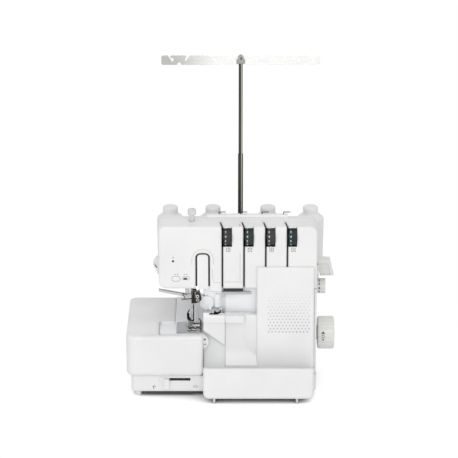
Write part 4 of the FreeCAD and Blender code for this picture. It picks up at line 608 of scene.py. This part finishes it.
class SERGER_OT_metalwork(bpy.types.Operator):
    """Finish the metal pieces"""

    bl_idname = "serger.metalwork"
    bl_label = "Metalwork"

    def execute(self, context):
        dress(metal("steel_bright", colours().steel), "needle_bar", "presser_bar", "presser_foot",
              "presser_lever", "needles", "lower_knife", "upper_knife", "lower_looper", "upper_looper",
              "feed_dogs", "main_shaft", "hinge_pins", "casing_screws", "spool_pins")
        dress(metal("plate_satin", colours().plate, rough=(0.3, 0.5)), "needle_plate")
        dress(self.mast_drawn(), "lower_mast", "upper_mast")
        dress(self.guide_bright(), "thread_guide_bar")
        dark = metal("steel_dark", (0.042, 0.041, 0.037), rough=(0.3, 0.5))
        dress(dark, "needle_clamp", "thread_guide_hooks", "tension_units")
        metal("steel_grey", (0.24, 0.235, 0.22), rough=(0.25, 0.4))
        metal("knife_black", (0.016, 0.016, 0.016), rough=(0.4, 0.6))
        cast = metal("cast_aluminium", (0.55, 0.56, 0.57), rough=(0.45, 0.65))
        dress(cast, "main_frame", "motor_pulley", "drive_pulley")
        dress(metal("brass", (0.62, 0.45, 0.18)), "bushes")
        dress(metal("motor_can", (0.16, 0.16, 0.17), rough=(0.4, 0.6)), "motor")
        return {"FINISHED"}

    def guide_bright(self):
        """Polished bar with a painted dark reflection that deepens towards its left end."""
        material = metal("guide_bright", (0.87, 0.87, 0.86), rough=(0.16, 0.3), low=0.95)
        left = node_box("thread_guide_bar")[0][0]
        # a darker grey mixed in towards the left end: a painted dark reflection
        fade_start, fade_end = left + 119.1, left + 9.1
        painted_reflection_fade = preset(add(material.node_tree, "ShaderNodeMapRange", interpolation_type="SMOOTHSTEP"),
                      from_min=fade_start * MM, from_max=fade_end * MM)
        self.tint_along_x(material, painted_reflection_fade, "Value", "Result", (0.46, 0.465, 0.45))
        return material

    def mast_drawn(self):
        """Dark drawn tube with a painted highlight: one bright stripe along its front."""
        material = metal("mast_metal", colours().mast, stretch=(380.0, 380.0, 6.0), low=0.55)
        # a bright stripe just right of the tube's middle: a painted highlight
        highlight_middle, highlight_half = middle_of("upper_mast")[0] + 1.8, 0.8
        painted_highlight = add(material.node_tree, "ShaderNodeMath", operation="COMPARE")
        painted_highlight.inputs[1].default_value = highlight_middle * MM
        painted_highlight.inputs[2].default_value = highlight_half * MM
        self.tint_along_x(material, painted_highlight, 0, "Value", (0.52, 0.51, 0.46))
        return material

    def tint_along_x(self, material, mask, socket, output, colour):
        """Paints light into a metal's colour: mixes a colour in where the mask, fed by the place in X, says
        so.
        """
        tree = material.node_tree
        shader = tree.nodes["Principled BSDF"]
        plain = shader.inputs["Base Color"].links[0].from_node
        place = add(tree, "ShaderNodeTexCoord")
        axes = add(tree, "ShaderNodeSeparateXYZ")
        join(tree, (place, "Object", axes, "Vector"), (axes, "X", mask, socket),
             (mixed(tree, mask, output, plain, colour), MIX_RESULT, shader, "Base Color"))


class SERGER_OT_tension_marks(bpy.types.Operator):
    """Number the four tension dials and print a mark below each"""

    bl_idname = "serger.tension_marks"
    bl_label = "Tension marks"

    def execute(self, context):
        moulded("numeral_pale", (0.80, 0.81, 0.80), (0.72, 0.73, 0.72))
        moulded("ink_light", (0.36, 0.36, 0.35), (0.30, 0.30, 0.29))
        front = node_box("head_front_cover")[0][1]
        step = math.radians(28)
        labels = [(str(n), (4 - n) * step + step / 2) for n in range(10)]
        size, inset = 5.4, 3.6
        for i in DIALS:
            dial = f"tension_dial_{i}"
            left, _, foot = node_box(dial)[0]
            drum_numerals(f"dial_numbers_{i}", dial, "white_shell", "numeral_pale", labels, size,
                          left + inset)
            printed(f"tension_label_{i}", "machine", "black_plastic", "ink_light", self.label(i),
                    (middle_of(dial)[0], foot), front)
        return {"FINISHED"}

    def label(self, i):
        """Three rows of short bars under a dial, as small print, measured from the middle of its foot."""
        left, top = -2.8, -0.6
        pitch_x, pitch_z = 3, 2.9
        longest, shorter_by, height = 2.2, 0.7, 2
        bars = []
        for column in range(3):
            for row in range(3):
                across = left + pitch_x * column
                under = top - pitch_z * row
                width = longest - shorter_by * ((column + row + i) % 2)
                bars.append(rectangle(across, across + width, under - height, under))
        return bars


class SERGER_OT_head_prints(bpy.types.Operator):
    """Print the thread paths and signs on the head, with its pilot light"""

    bl_idname = "serger.head_prints"
    bl_label = "Head prints"

    def execute(self, context):
        (left, front, foot), (_, _, top) = node_box("head_front_cover")
        width = sizes().line_width / MM
        moulded("ink_beige", (0.52, 0.49, 0.43), (0.46, 0.44, 0.39))
        moulded("ink_dark", (0.05, 0.05, 0.05), (0.08, 0.08, 0.08))
        printed("thread_path_print", "machine", "grey_plastic", "ink_beige", self.thread_lines(width),
                (left, foot), front)
        printed("sign_print", "machine", "black_plastic", "ink_dark", self.signs(width), (left, foot), front)
        pitch, near, far, shorter_by = 2.4, 6, 17, 2
        marks = [rectangle(145.5 + pitch * i, 146.6 + pitch * i, near, far - shorter_by * i)
                 for i in range(2)]
        printed("roof_print", "machine", "grey_plastic", "ink_beige", marks, (left, front), top, facing_up)
        self.pilot_light(left + 26.1, front, foot + 59.5)
        return {"FINISHED"}

    def thread_lines(self, width):
        """The thread paths, measured from the head's lower left corner."""
        middle, half, foot, spring, steps = 79.6, 19.6, 52.4, 62.6, 24
        arch = [(middle - half, foot)]
        for i in range(steps + 1):
            angle = math.pi * (1 - i / steps)
            arch.append((middle + half * math.cos(angle), spring + half * math.sin(angle)))
        arch.append((middle + half, foot))
        drop = [(97.1, 43.9), (98.1, 29), (98.6, 21.5), (99.8, 18.9), (102, 18.1), (111.7, 18.1)]
        panel = [(118.5, 19.4), (151.5, 19.4)]
        rise = [(147, 20.4), (147, 75.5)]
        return [stroke(points, width) for points in (arch, drop, panel, rise)]

    def signs(self, width):
        """Plain signs in the lower left, measured from the head's lower left corner."""
        dots = [circle(a, 34, 0.75, 12) for a in (29.8, 34.3, 46.6, 50.6)]
        large = stroke(rounded(23.8, 38.8, 20.8, 30.5, 4.2), width, closed=True)
        small = stroke(rounded(43.4, 55.3, 23.4, 30.2, 2.6), width, closed=True)
        filled = rounded(44.6, 51.6, 24, 27.6, 1.2)
        tick = rectangle(25.4, 26.8, 65.4, 67.6)
        return [*dots, large, small, filled, tick]

    def pilot_light(self, x, front, z):
        """A low dark dome."""
        moulded("pilot_lens", (0.012, 0.014, 0.012), (0.02, 0.024, 0.02), rough=(0.3, 0.4), gloss=0.2)
        radius, sink, height, steps, sides = 2.1, 0.1, 0.9, 5, 20

        def build(work):
            rings = []
            for step in range(steps):
                angle = math.pi / 2 * step / steps
                outline = circle(x, z, radius * math.cos(angle), sides)
                rings.append(loop(work, outline, facing_front, front + sink - height * math.sin(angle)))
            tip = work.verts.new((x, front + sink - height, z))
            skin(work, *rings)
            for i in range(sides):
                work.faces.new((rings[-1][i], rings[-1][(i + 1) % sides], tip))
            work.faces.new(rings[0][::-1])
        built("pilot_light", "machine", "black_plastic", "pilot_lens", build)


class SERGER_OT_cover_pattern(bpy.types.Operator):
    """Print a plain field of small diamonds on the looper cover"""

    bl_idname = "serger.cover_pattern"
    bl_label = "Cover pattern"

    def execute(self, context):
        moulded("ink_pattern", (0.56, 0.56, 0.57), (0.50, 0.50, 0.51))
        (left, front, foot), (_, _, top) = node_box("looper_cover")
        lean = sizes().cover_lean / MM / (top - foot)
        rows, columns = 13, 12
        first_x, first_z = 78.7, 70
        pitch_x, pitch_z = 6.4, 6
        largest, smaller_by, stretch = 1.7, 1.1, 1.3

        def leaning_front(a, b, level):
            return (a, level + lean * (b - foot), b)
        outlines = []
        for row in range(rows):
            size = largest - smaller_by * row / (rows - 1)
            diamond = [(-size, 0), (0, -stretch * size), (size, 0), (0, stretch * size)]
            for column in range(columns):
                middle = first_x + pitch_x * (column + row % 2 / 2)
                outlines.append(moved(diamond, middle, first_z + pitch_z * row))
        printed("cover_pattern", "looper_cover", "grey_plastic", "ink_pattern", outlines, (left, foot), front,
                leaning_front)
        return {"FINISHED"}


class SERGER_OT_small_prints(bpy.types.Operator):
    """Print the base signs, the width dial's mark and the marks on length dial and handwheel"""

    bl_idname = "serger.small_prints"
    bl_label = "Small prints"

    def execute(self, context):
        ink = ("black_plastic", "ink_dark")
        left, front, foot = node_box("base_pan")[0]
        printed("base_signs", "machine", *ink, self.base_signs(), (left, foot), front)
        face = node_box("width_dial")[0][1]
        middle_x, _, middle_z = middle_of("width_dial")
        marks = [circle(7.2, 5, 1.9, 14), rectangle(5, 7.6, -5.2, -3.6), rectangle(8.4, 9.6, -5.4, -3)]
        printed("width_marks", "width_dial", *ink, marks, (middle_x, middle_z), face)
        step, first = 32, 18
        labels = [(str(n), math.radians(step * (3.5 - n) + first)) for n in (2, 3, 4, 5)]
        size, inset = 7, 11.5
        right = node_box("stitch_length_dial")[1][0]
        drum_numerals("length_numbers", "stitch_length_dial", *ink, labels, size, right - inset)
        self.wheel_arrow(ink)
        return {"FINISHED"}

    def base_signs(self):
        """A tick and a diamond with dots, measured from the base's lower left corner."""
        thin = sizes().line_width / MM
        thick = 3.6 * thin
        tick = stroke([(40, 9.2), (41.2, 11.2), (42.4, 12.6)], thick)
        diamond = stroke([(114, 10.7), (117.8, 13.4), (121.4, 10.7), (117.8, 8.2)], thin, closed=True)
        dots = ((41.4, 6.9, 1), (44.4, 10.8, 0.7), (114.7, 10.7, 0.9), (120.8, 10.7, 0.9))
        return [tick, diamond, *[circle(a, b, radius, 12) for a, b, radius in dots]]

    def wheel_arrow(self, ink):
        """An arrow, a ring and two bars on the handwheel's rim."""
        centre_y, centre_z, rim = drum("handwheel")
        radius = rim + 0.05
        sink, lift, inset = 0.1, 0.12, 21
        left = node_box("handwheel")[1][0] - inset
        place = on_drum(centre_y, centre_z, radius, left, math.radians(8))
        outlines = [stroke(circle(0, 0, 2.4, 16), 0.9, closed=True),
                    [(-3.4, 5), (3.4, 5), (0, 9.4)],
                    rectangle(-2.4, 2.4, -6.4, -5.2), rectangle(-1.4, 1.4, -8.8, -7.6)]

        def build(work):
            for outline in outlines:
                prism(work, outline, place, radius - sink, radius + lift)
        built("handwheel_mark", "drive", *ink, build)


class SERGER_OT_needle_clamp(bpy.types.Operator):
    """Build the needle clamp with its socket screws, thread hook and eye"""

    bl_idname = "serger.needle_clamp"
    bl_label = "Needle clamp"

    def execute(self, context):
        ride = ("needle_drive", "steel")
        corner, (_, rear, _) = node_box("needle_clamp")
        left, front, under = corner
        side = [(-0.2, 16), (-1.6, 12), (-1.2, 2)]
        whole = [(0.2, 27), *side, (5, 3.2), (10.6, 3.9), (14.5, 7.5), (17.2, 9.5), (16.4, 15),
                 (14.5, 21), (12.7, 27)]
        column = [(0.2, 26.6), *side, (2.4, 2.7), (2.4, 26.6)]
        cheek = [(4.2, 26.4), (4.2, 12.5), (2.4, 11.5), (2.4, 2.7), (10.6, 3.9), (14.5, 7.5), (17, 9.7),
                 (16, 15), (14.1, 21), (12.3, 26.4)]
        rib = [(4.9, 24.6), (4.9, 14), (7.2, 13), (7, 24)]

        def layer(outline, near, far):
            return (moved(outline, left, under), facing_front, front + near, far)
        clamp = block("clamp_block", *ride, "steel_dark", [
            layer(whole, 5.5, rear), layer(column, 2.4, front + 5.7), layer(cheek, 1.6, front + 5.7)])
        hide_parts("needle_clamp")
        block("clamp_rib", *ride, "steel_grey", [layer(rib, 0.8, front + 2)], 0.3)
        low, high = node_box("needles")
        socket = rounded(low[0] - 1.2, high[0] + 1.2, low[1] - 2, high[1] + 2, 1.4)
        block("needle_socket", *ride, "steel_bright", [(socket, facing_up, high[2] - 1, under + 6)], 0.3)
        for number, level in enumerate((10, 16.6)):
            socket_screw(f"clamp_screw_{number}", "needle_drive", "steel_bright",
                         (left + 9.9, under + level), (2.9, 1.8), front + 0.2, 1.6, 0.25)
        wires = (
            ("clamp_wire", "steel_dark", 1,
             [(1, 4, 12.2), (-7, 3, 11.2), (-13, 2.6, 11.2), (-19.6, 2.6, 10.8)]),
            ("clamp_hook", "steel_dark", 0.75,
             [(-12.2, 2.6, 11), (-14.5, 2.6, 16), (-17.4, 2.6, 21.4), (-16, 2.6, 23.2),
              (-13, 2.6, 20.8), (-9.8, 2.6, 19.4)]),
            ("clamp_guide", "steel_bright", 0.8,
             [(12, 6, 23.4), (16, 5, 24.6), (18.2, 5, 21), (18.4, 5, 18)]),
            ("clamp_eye", "steel_dark", 1, [(17.2, 5, 17.4), (20, 4.6, 19), (23.1, 4.6, 17.8)]))
        for name, finish, radius, points in wires:
            tube(name, *ride, finish, moved(points, *corner), radius)
        return {"FINISHED"}


class SERGER_OT_presser_foot(bpy.types.Operator):
    """Build the presser foot with its sole, post, catch and spring wire, and dark pieces painted as the shade
    beside its post and between its toes
    """

    bl_idname = "serger.presser_foot"
    bl_label = "Presser foot"

    def execute(self, context):
        (left, front, sole), (right, rear, top) = node_box("presser_foot")
        x, y, _ = middle_of("presser_bar")
        deck = sole + 2.2
        seat = deck - 0.4
        plate = block("foot_sole", "presser", "steel", "steel_bright", [
            (self.sole_outline(left, right, front, rear, x), facing_up, sole, deck)])
        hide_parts("presser_foot")
        post = [(y - 4, top), (y + 4, top), (y + 4, sole + 1.5), (y - 6, sole + 1.5),
                (y - 4, sole + 12)]
        # a dark strip along the post's right side: a painted shadow
        post_shadow_strip = rectangle(x + 1.6, x + 3, sole + 7.5, top + 7.5)
        catch = moved([(-4.6, 29.8), (-5.4, 25.7), (-7.1, 23.3), (-6.3, 20.5), (-5.1, 18.5), (-6.6, 15.8),
                       (-4.2, 13.4), (-5.7, 10.4), (-9.5, 10.4), (-10.1, 15.8), (-10.2, 21.3), (-8.2, 24.5),
                       (-6.3, 28.1)], x, sole)
        bridge = moved([(-9.4, 11.6), (3.2, 9), (3.2, 7.2), (-8.8, 9.4)], x, sole)
        heel = rectangle(x - 7.6, x - 2.4, seat, sole + 9.8)
        cheek = [(y - 22, seat), (y - 10, seat), (y - 11.5, sole + 7.6), (y - 16, sole + 7.6)]
        pin = circle(y - 14, sole + 5.8, 1.2, 16)
        roll = circle(y - 20.5, sole + 3.6, 1.1, 16)
        # black studs and a bar on the sole's toes, where the gaps between the prongs are in shade: a painted
        # shadow
        toe_shadows = [(circle(x + a, front + b, 1.5, 16), facing_up, deck - 0.3, deck + 0.9)
                for a, b in ((-4.6, 3.6), (1.4, 4.2), (4.9, 4.4), (15.1, 3.6))]
        toe_shadow_bar = rounded(x - 4, x + 3.6, front + 6, front + 9, 1.2)
        blocks = (
            ("foot_post", "steel", "steel_bright", 0.6, [(post, facing_side, x - 2.6, x + 1.5)]),
            ("foot_post_shadow", "steel", "steel_dark", 0.2, [(post_shadow_strip, facing_front, y - 4.4, y - 2.2)]),
            ("foot_catch", "black_plastic", "knife_black", 0.3, [(catch, facing_front, y - 5, y - 1)]),
            ("foot_bridge", "steel", "steel_dark", 0.4, [(bridge, facing_front, y - 8, y + 1)]),
            ("foot_heel", "steel", "steel_grey", 0.6, [(heel, facing_front, y - 6.5, y + 1)]),
            ("foot_cheeks", "steel", "steel_grey", 0.3,
             [(cheek, facing_side, x - 1, x + 0.6), (cheek, facing_side, x + 12.7, x + 14.3)]),
            ("foot_pin", "steel", "steel_dark", 0.2, [(pin, facing_side, x - 1.6, x + 14.6)]),
            ("foot_roll", "steel", "steel_bright", 0.2, [(roll, facing_side, x + 0.4, x + 13)]),
            ("foot_toe_shadows", "steel", "knife_black", 0.2,
             [*toe_shadows, (toe_shadow_bar, facing_up, deck - 0.3, deck + 0.6)]))
        for name, slot, finish, edge, shapes in blocks:
            block(name, "presser", slot, finish, shapes, edge)
        spring = [(12.4, -7, 12.6), (14.6, -7, 9.6), (15.9, -8, 6.8), (15.6, -10, 4.6),
                  (15.2, -14, 3), (14.8, -18, 2.6)]
        tube("foot_wire", "presser", "steel", "steel_dark", moved(spring, x, y, sole), 1.1)
        return {"FINISHED"}

    def sole_outline(self, left, right, front, rear, x):
        """The sole from above, with a slit left of the needles and a wide slot around them."""
        slit = [(x - 3.2, front), (x - 2.6, front + 15), (x - 1.2, front + 15), (x - 0.8, front + 2)]
        slot = [(x + 6.6, front + 1), (x + 6.8, front + 18), (x + 13.2, front + 18),
                (x + 13.4, front + 0.5)]
        return [(left + 4, front + 3), (left + 6, front), *slit, *slot,
                (right - 4, front), (right - 2, front + 4), (right - 2, rear - 6),
                (right - 7, rear), (left + 8, rear), (left + 4, rear - 6)]


class SERGER_OT_guide_bar(bpy.types.Operator):
    """Build the notched thread guide bar and the cap that holds it on the mast"""

    bl_idname = "serger.guide_bar"
    bl_label = "Guide bar"

    def execute(self, context):
        low, high = node_box("thread_guide_bar")
        mast_top = node_box("upper_mast")[1]
        front = mast_top[1] + 0.5
        height = 18
        outline = self.notched(low[0], high[0], low[2], low[2] + height)
        plate = block("guide_plate", "thread_tree", "steel", "guide_bright", [
            (outline, facing_front, front, high[1])], 0.2)
        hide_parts("thread_guide_bar")
        metal("cap_grey", (0.36, 0.36, 0.35), rough=(0.3, 0.45), low=0.8)
        dome = [(-5.2, 0), (5.2, 0), (5.2, 8.6), (3.8, 12), (1.6, 13.8), (-1.6, 13.8), (-3.8, 12),
                (-5.2, 8.6)]
        brim = rounded(-8.2, 8.2, -1, 1.6, 0.8)
        shapes = [(moved(shape, middle_of("upper_mast")[0], mast_top[2]), facing_front, near, front + 0.2)
                  for shape, near in ((dome, low[1]), (brim, low[1] + 1))]
        block("guide_cap", "thread_tree", "steel", "cap_grey", shapes, 0.4)
        return {"FINISHED"}

    def notched(self, left, right, foot, over):
        """The bar's outline with four sets of cut-outs, from its upper left corner clockwise."""
        first, pitch, corner = 12.6, 78.2, 2.5
        hook = [(0, 0), (6.6, 11), (8.1, 11.6), (9.8, 10.2), (10.3, 8.2), (9.8, 5.8), (8.3, 4.6),
                (5.2, 4.8), (3.8, 3), (5, 0.9), (6.8, 0)]
        slant = [(32.6, 0), (34, 2.2), (30.8, 8.4), (31.4, 10.4), (33, 10.4), (40.2, 0)]
        middle, half, deep, steps = 20.4, 3.7, 4.6, 8
        turns = [math.pi * i / steps for i in range(steps + 1)]
        nick = [(middle + half * math.cos(turn), deep * math.sin(turn)) for turn in turns]
        starts = [left + first + pitch * i for i in range(4)]
        points = [(left, over - corner), (left + corner, over)]
        for start in starts:
            points += [(start + a, over - b) for a, b in hook + slant]
        points += [(right - corner, over), (right, over - corner), (right, foot + corner),
                   (right - corner, foot)]
        for start in reversed(starts):
            points += moved(nick, start, foot)
        return points + [(left + corner, foot), (left, foot + corner)]


class SERGER_OT_knife_horn(bpy.types.Operator):
    """Build the black horn that the upper knife's arm carries above its cover"""

    bl_idname = "serger.knife_horn"
    bl_label = "Knife horn"

    def execute(self, context):
        (left, front, _), (_, _, top) = node_box("upper_knife")
        cover_top = node_box("knife_cover")[1][2]
        level = cover_top + 0.5
        face = front - 12.5
        horn = [(8.4, 0), (13.7, 2.6), (15, 1.2), (16.2, 1.1), (17.9, 2.2), (19.2, 7.4), (20.6, 5.6),
                (23.2, 3.5), (26, 3.9), (28.1, 5.5), (29.8, 8.7), (30.7, 8), (30.4, 3.5), (28.3, 1.8),
                (24.4, 0)]
        block("knife_horn", "upper_knife", "steel", "knife_black", [
            (moved(horn, left, level), facing_front, face, face + 2.8)], 0.3)
        near, bend, far = face + 2.4, front + 8, front + 11.5
        under, over, foot = level + 0.2, level + 1.8, top - 1.6
        stem = [(near, under), (bend, under), (bend, foot), (far, foot), (far, over), (near, over)]
        block("knife_stem", "upper_knife", "steel", "steel_bright", [
            (stem, facing_side, left + 17, left + 20)], 0.3)
        return {"FINISHED"}


class SERGER_OT_trim(bpy.types.Operator):
    """Build the selector's cap, a black strip painted as the shadow under the base, the chute's lips, the
    cutter's blade and the cap's bolt
    """

    bl_idname = "serger.trim"
    bl_label = "Trim"

    def execute(self, context):
        left, front, foot = node_box("base_pan")[0]
        (lever_left, _, _), (_, _, lever_top) = node_box("selector_lever")
        cap = rectangle(lever_left - 7, lever_left + 2.6, lever_top - 6.6, lever_top + 0.8)
        block("selector_cap", "selector_lever", "white_shell", "shell_white", [
            (cap, facing_front, front - 2.2, front - 0.4)])
        # a black strip in the gap under the base's front: a painted shadow
        under_base_shadow = rectangle(left + 20, left + 113, front + 1, front + 14)
        block("base_shadow_strip", "machine", "black_plastic", "black_plastic", [
            (under_base_shadow, facing_up, foot - 2.6, foot + 0.1)])
        self.chute_lips()
        left, front, foot = node_box("thread_cutter")[0]
        blade = stroke([(left + 3, foot + 22.3), (left + 7.1, foot + 17.4)], 1.7)
        block("cutter_blade", "machine", "steel", "steel_dark", [
            (blade, facing_front, front - 0.3, front + 2)], 0.2)
        (_, bar_front, _), (_, _, bar_top) = node_box("thread_guide_bar")
        middle = (middle_of("upper_mast")[0] + 1.1, bar_top - 4.6)
        socket_screw("clamp_bolt", "thread_tree", "steel_dark", middle, (1.9, 0.9),
                     bar_front - 0.9, 1.2, 0.2)
        return {"FINISHED"}

    def chute_lips(self):
        """A slanted lip behind the chute's leaning face, and an upright one at its left end."""
        (left, front, foot), (right, _, _) = node_box("chip_chute")
        lean, face_y, face_z = 0.272, 18.1, 67.4
        low, high, near, far, wide = 28, 51, 1, 3, 6
        low_y, high_y = [face_y + lean * (level - face_z) for level in (low, high)]
        lip = moved([(low_y + near, low), (high_y + near, high), (high_y + far, high), (low_y + far, low)],
                    front, foot)
        end = moved(rectangle(16.5, 17.7, 58.5, 72.5), front, foot)
        block("chute_lips", "machine", "grey_plastic", "chute_grey", [
            (lip, facing_side, right - wide, right), (end, facing_side, left + 0.2, left + 4.6)], 0.2)


class SERGER_OT_under_head(bpy.types.Operator):
    """Build the thread bar and its stud under the head"""

    bl_idname = "serger.under_head"
    bl_label = "Under the head"

    def execute(self, context):
        moulded("guide_grey", (0.55, 0.56, 0.57), (0.50, 0.51, 0.52))
        left, _, foot = node_box("head_front_cover")[0]
        front = node_box("throat_panel")[0][1]
        bar = moved(rounded(117, 167, -8.5, -3.5, 1.6), left, foot)
        block("thread_bar", "machine", "grey_plastic", "guide_grey", [
            (bar, facing_front, front - 1.5, front + 13)])
        stud = moved(rounded(113.4, 119, -15, -3.6, 2.4), left, foot)
        block("thread_stud", "machine", "grey_plastic", "guide_grey", [
            (stud, facing_front, front - 2, front + 14)], 0.8)
        return {"FINISHED"}


class SERGER_OT_stage(bpy.types.Operator):
    """Make the floor, the light and the camera"""

    bl_idname = "serger.stage"
    bl_label = "Stage"

    def execute(self, context):
        self.floor()
        self.light()
        self.camera()
        context.scene.view_settings.view_transform = "Standard"
        return {"FINISHED"}

    def floor(self):
        """A wide white ground with a painted contact shadow close under the machine."""
        half = 12.0
        mesh = bpy.data.meshes.new("floor")
        mesh.from_pydata([(a, b, 0.0) for a, b in rectangle(-half, half, -half, half)], [], [(0, 1, 2, 3)])
        floor = bpy.data.objects.new("floor", mesh)
        bpy.context.scene.collection.objects.link(floor)
        mesh.materials.append(self.floor_white())

    def floor_white(self):
        """A plain white for the light, and for the eye a glow whose fade close under the machine is a painted
        contact shadow.
        """
        material, tree, shader = new_material("floor_white")
        tree.nodes.remove(shader)
        table = preset(add(tree, "ShaderNodeBsdfDiffuse"), color=(0.82, 0.82, 0.82, 1.0))
        shaded = preset(add(tree, "ShaderNodeBsdfDiffuse"), color=(0.09, 0.09, 0.09, 1.0))
        nearby = preset(add(tree, "ShaderNodeAmbientOcclusion", samples=16), distance=stage_values().contact)
        # the glow fades where the ambient occlusion is low: a painted contact shadow
        painted_contact_shadow = preset(add(tree, "ShaderNodeMapRange"), from_min=0.05, from_max=0.5, to_max=0.94)
        glow = add(tree, "ShaderNodeEmission")
        white = add(tree, "ShaderNodeAddShader")
        both = add(tree, "ShaderNodeMixShader")
        join(tree, (nearby, "AO", painted_contact_shadow, "Value"), (painted_contact_shadow, "Result", glow, "Strength"),
             (shaded, "BSDF", white, 0), (glow, "Emission", white, 1),
             (seen_mask(tree), "Value", both, "Fac"), (table, "BSDF", both, 1), (white, "Shader", both, 2),
             (both, "Shader", tree.nodes["Material Output"], "Surface"))
        return material

    def light(self):
        """A white surround, stronger in front and weaker at the sides, and two lamps."""
        values = stage_values()
        world = bpy.data.worlds.new("studio")
        bpy.context.scene.world = world
        world.use_nodes = True
        tree = world.node_tree
        background = preset(tree.nodes["Background"], color=(1.0, 1.0, 1.0, 1.0))
        place = add(tree, "ShaderNodeTexCoord")
        axes = add(tree, "ShaderNodeSeparateXYZ")
        fill = preset(add(tree, "ShaderNodeMapRange"), from_min=-1.0, to_min=values.fill_front,
                      to_max=values.fill_back)
        square = add(tree, "ShaderNodeMath", operation="MULTIPLY")
        around = add(tree, "ShaderNodeMath", operation="MULTIPLY_ADD")
        around.inputs[1].default_value = -values.sides
        level = add(tree, "ShaderNodeMapRange")
        join(tree, (place, "Generated", axes, "Vector"), (axes, "Y", fill, "Value"),
             (axes, "X", square, 0), (axes, "X", square, 1),
             (square, "Value", around, 0), (fill, "Result", around, 2),
             (seen_mask(tree), "Value", level, "Value"), (around, "Value", level, "To Min"),
             (level, "Result", background, "Strength"))
        self.soft_panel("front", values.front, size=(0.8, 0.4), place=(-0.05, -1.15, 0.6),
                        aim=(-0.03, -0.07, 0.13))
        self.soft_panel("sewing", values.sewing, size=(0.05, 0.012), place=(-0.062, -0.092, 0.198),
                        aim=(-0.058, -0.03, 0.12))

    def soft_panel(self, name, power, size, place, aim):
        """A rectangular lamp at a place, turned to what it lights."""
        panel = bpy.data.lights.new(name, "AREA")
        panel.energy = power
        panel.shape = "RECTANGLE"
        panel.size, panel.size_y = size
        lamp = bpy.data.objects.new(name, panel)
        lamp.location = place
        lamp.rotation_euler = (Vector(aim) - Vector(place)).to_track_quat("-Z", "Y").to_euler()
        bpy.context.scene.collection.objects.link(lamp)

    def camera(self):
        values = stage_values()
        data = bpy.data.cameras.new("camera")
        data.sensor_width = 36.0
        data.lens = values.focal
        data.clip_end = 100.0
        camera = bpy.data.objects.new("camera", data)
        back = Vector((0.0, -math.cos(values.elevation), math.sin(values.elevation)))
        camera.location = Vector(values.target) + back * values.distance
        camera.rotation_euler = (-back).to_track_quat("-Z", "Y").to_euler()
        bpy.context.scene.collection.objects.link(camera)
        bpy.context.scene.camera = camera


class SERGER_PT_panel(bpy.types.Panel):
    """Lists the steps in the 3D view's sidebar"""

    bl_idname = "SERGER_PT_panel"
    bl_label = "Serger"
    bl_space_type = "VIEW_3D"
    bl_region_type = "UI"
    bl_category = "Serger"

    def draw(self, context):
        for step in OPERATORS:
            self.layout.operator(step.bl_idname)


OPERATORS = (
    SERGER_OT_casing, SERGER_OT_controls, SERGER_OT_metalwork, SERGER_OT_tension_marks, SERGER_OT_head_prints,
    SERGER_OT_cover_pattern, SERGER_OT_small_prints, SERGER_OT_needle_clamp, SERGER_OT_presser_foot,
    SERGER_OT_guide_bar, SERGER_OT_knife_horn, SERGER_OT_trim, SERGER_OT_under_head, SERGER_OT_stage,
)
GROUPS = {"serger_colours": SergerColours, "serger_sizes": SergerSizes, "serger_stage": SergerStage}
CLASSES = (*GROUPS.values(), *OPERATORS, SERGER_PT_panel)


def register():
    for item in CLASSES:
        bpy.utils.register_class(item)
    for name, group in GROUPS.items():
        setattr(bpy.types.Scene, name, PointerProperty(type=group))


def unregister():
    for name in GROUPS:
        delattr(bpy.types.Scene, name)
    for item in reversed(CLASSES):
        bpy.utils.unregister_class(item)


def main():
    register()
    bpy.ops.serger.casing()
    bpy.ops.serger.controls()
    bpy.ops.serger.metalwork()
    bpy.ops.serger.tension_marks()
    bpy.ops.serger.head_prints()
    bpy.ops.serger.cover_pattern()
    bpy.ops.serger.small_prints()
    bpy.ops.serger.needle_clamp()
    bpy.ops.serger.presser_foot()
    bpy.ops.serger.guide_bar()
    bpy.ops.serger.knife_horn()
    bpy.ops.serger.trim()
    bpy.ops.serger.under_head()
    bpy.ops.serger.stage()


if __name__ == "__main__":
    main()
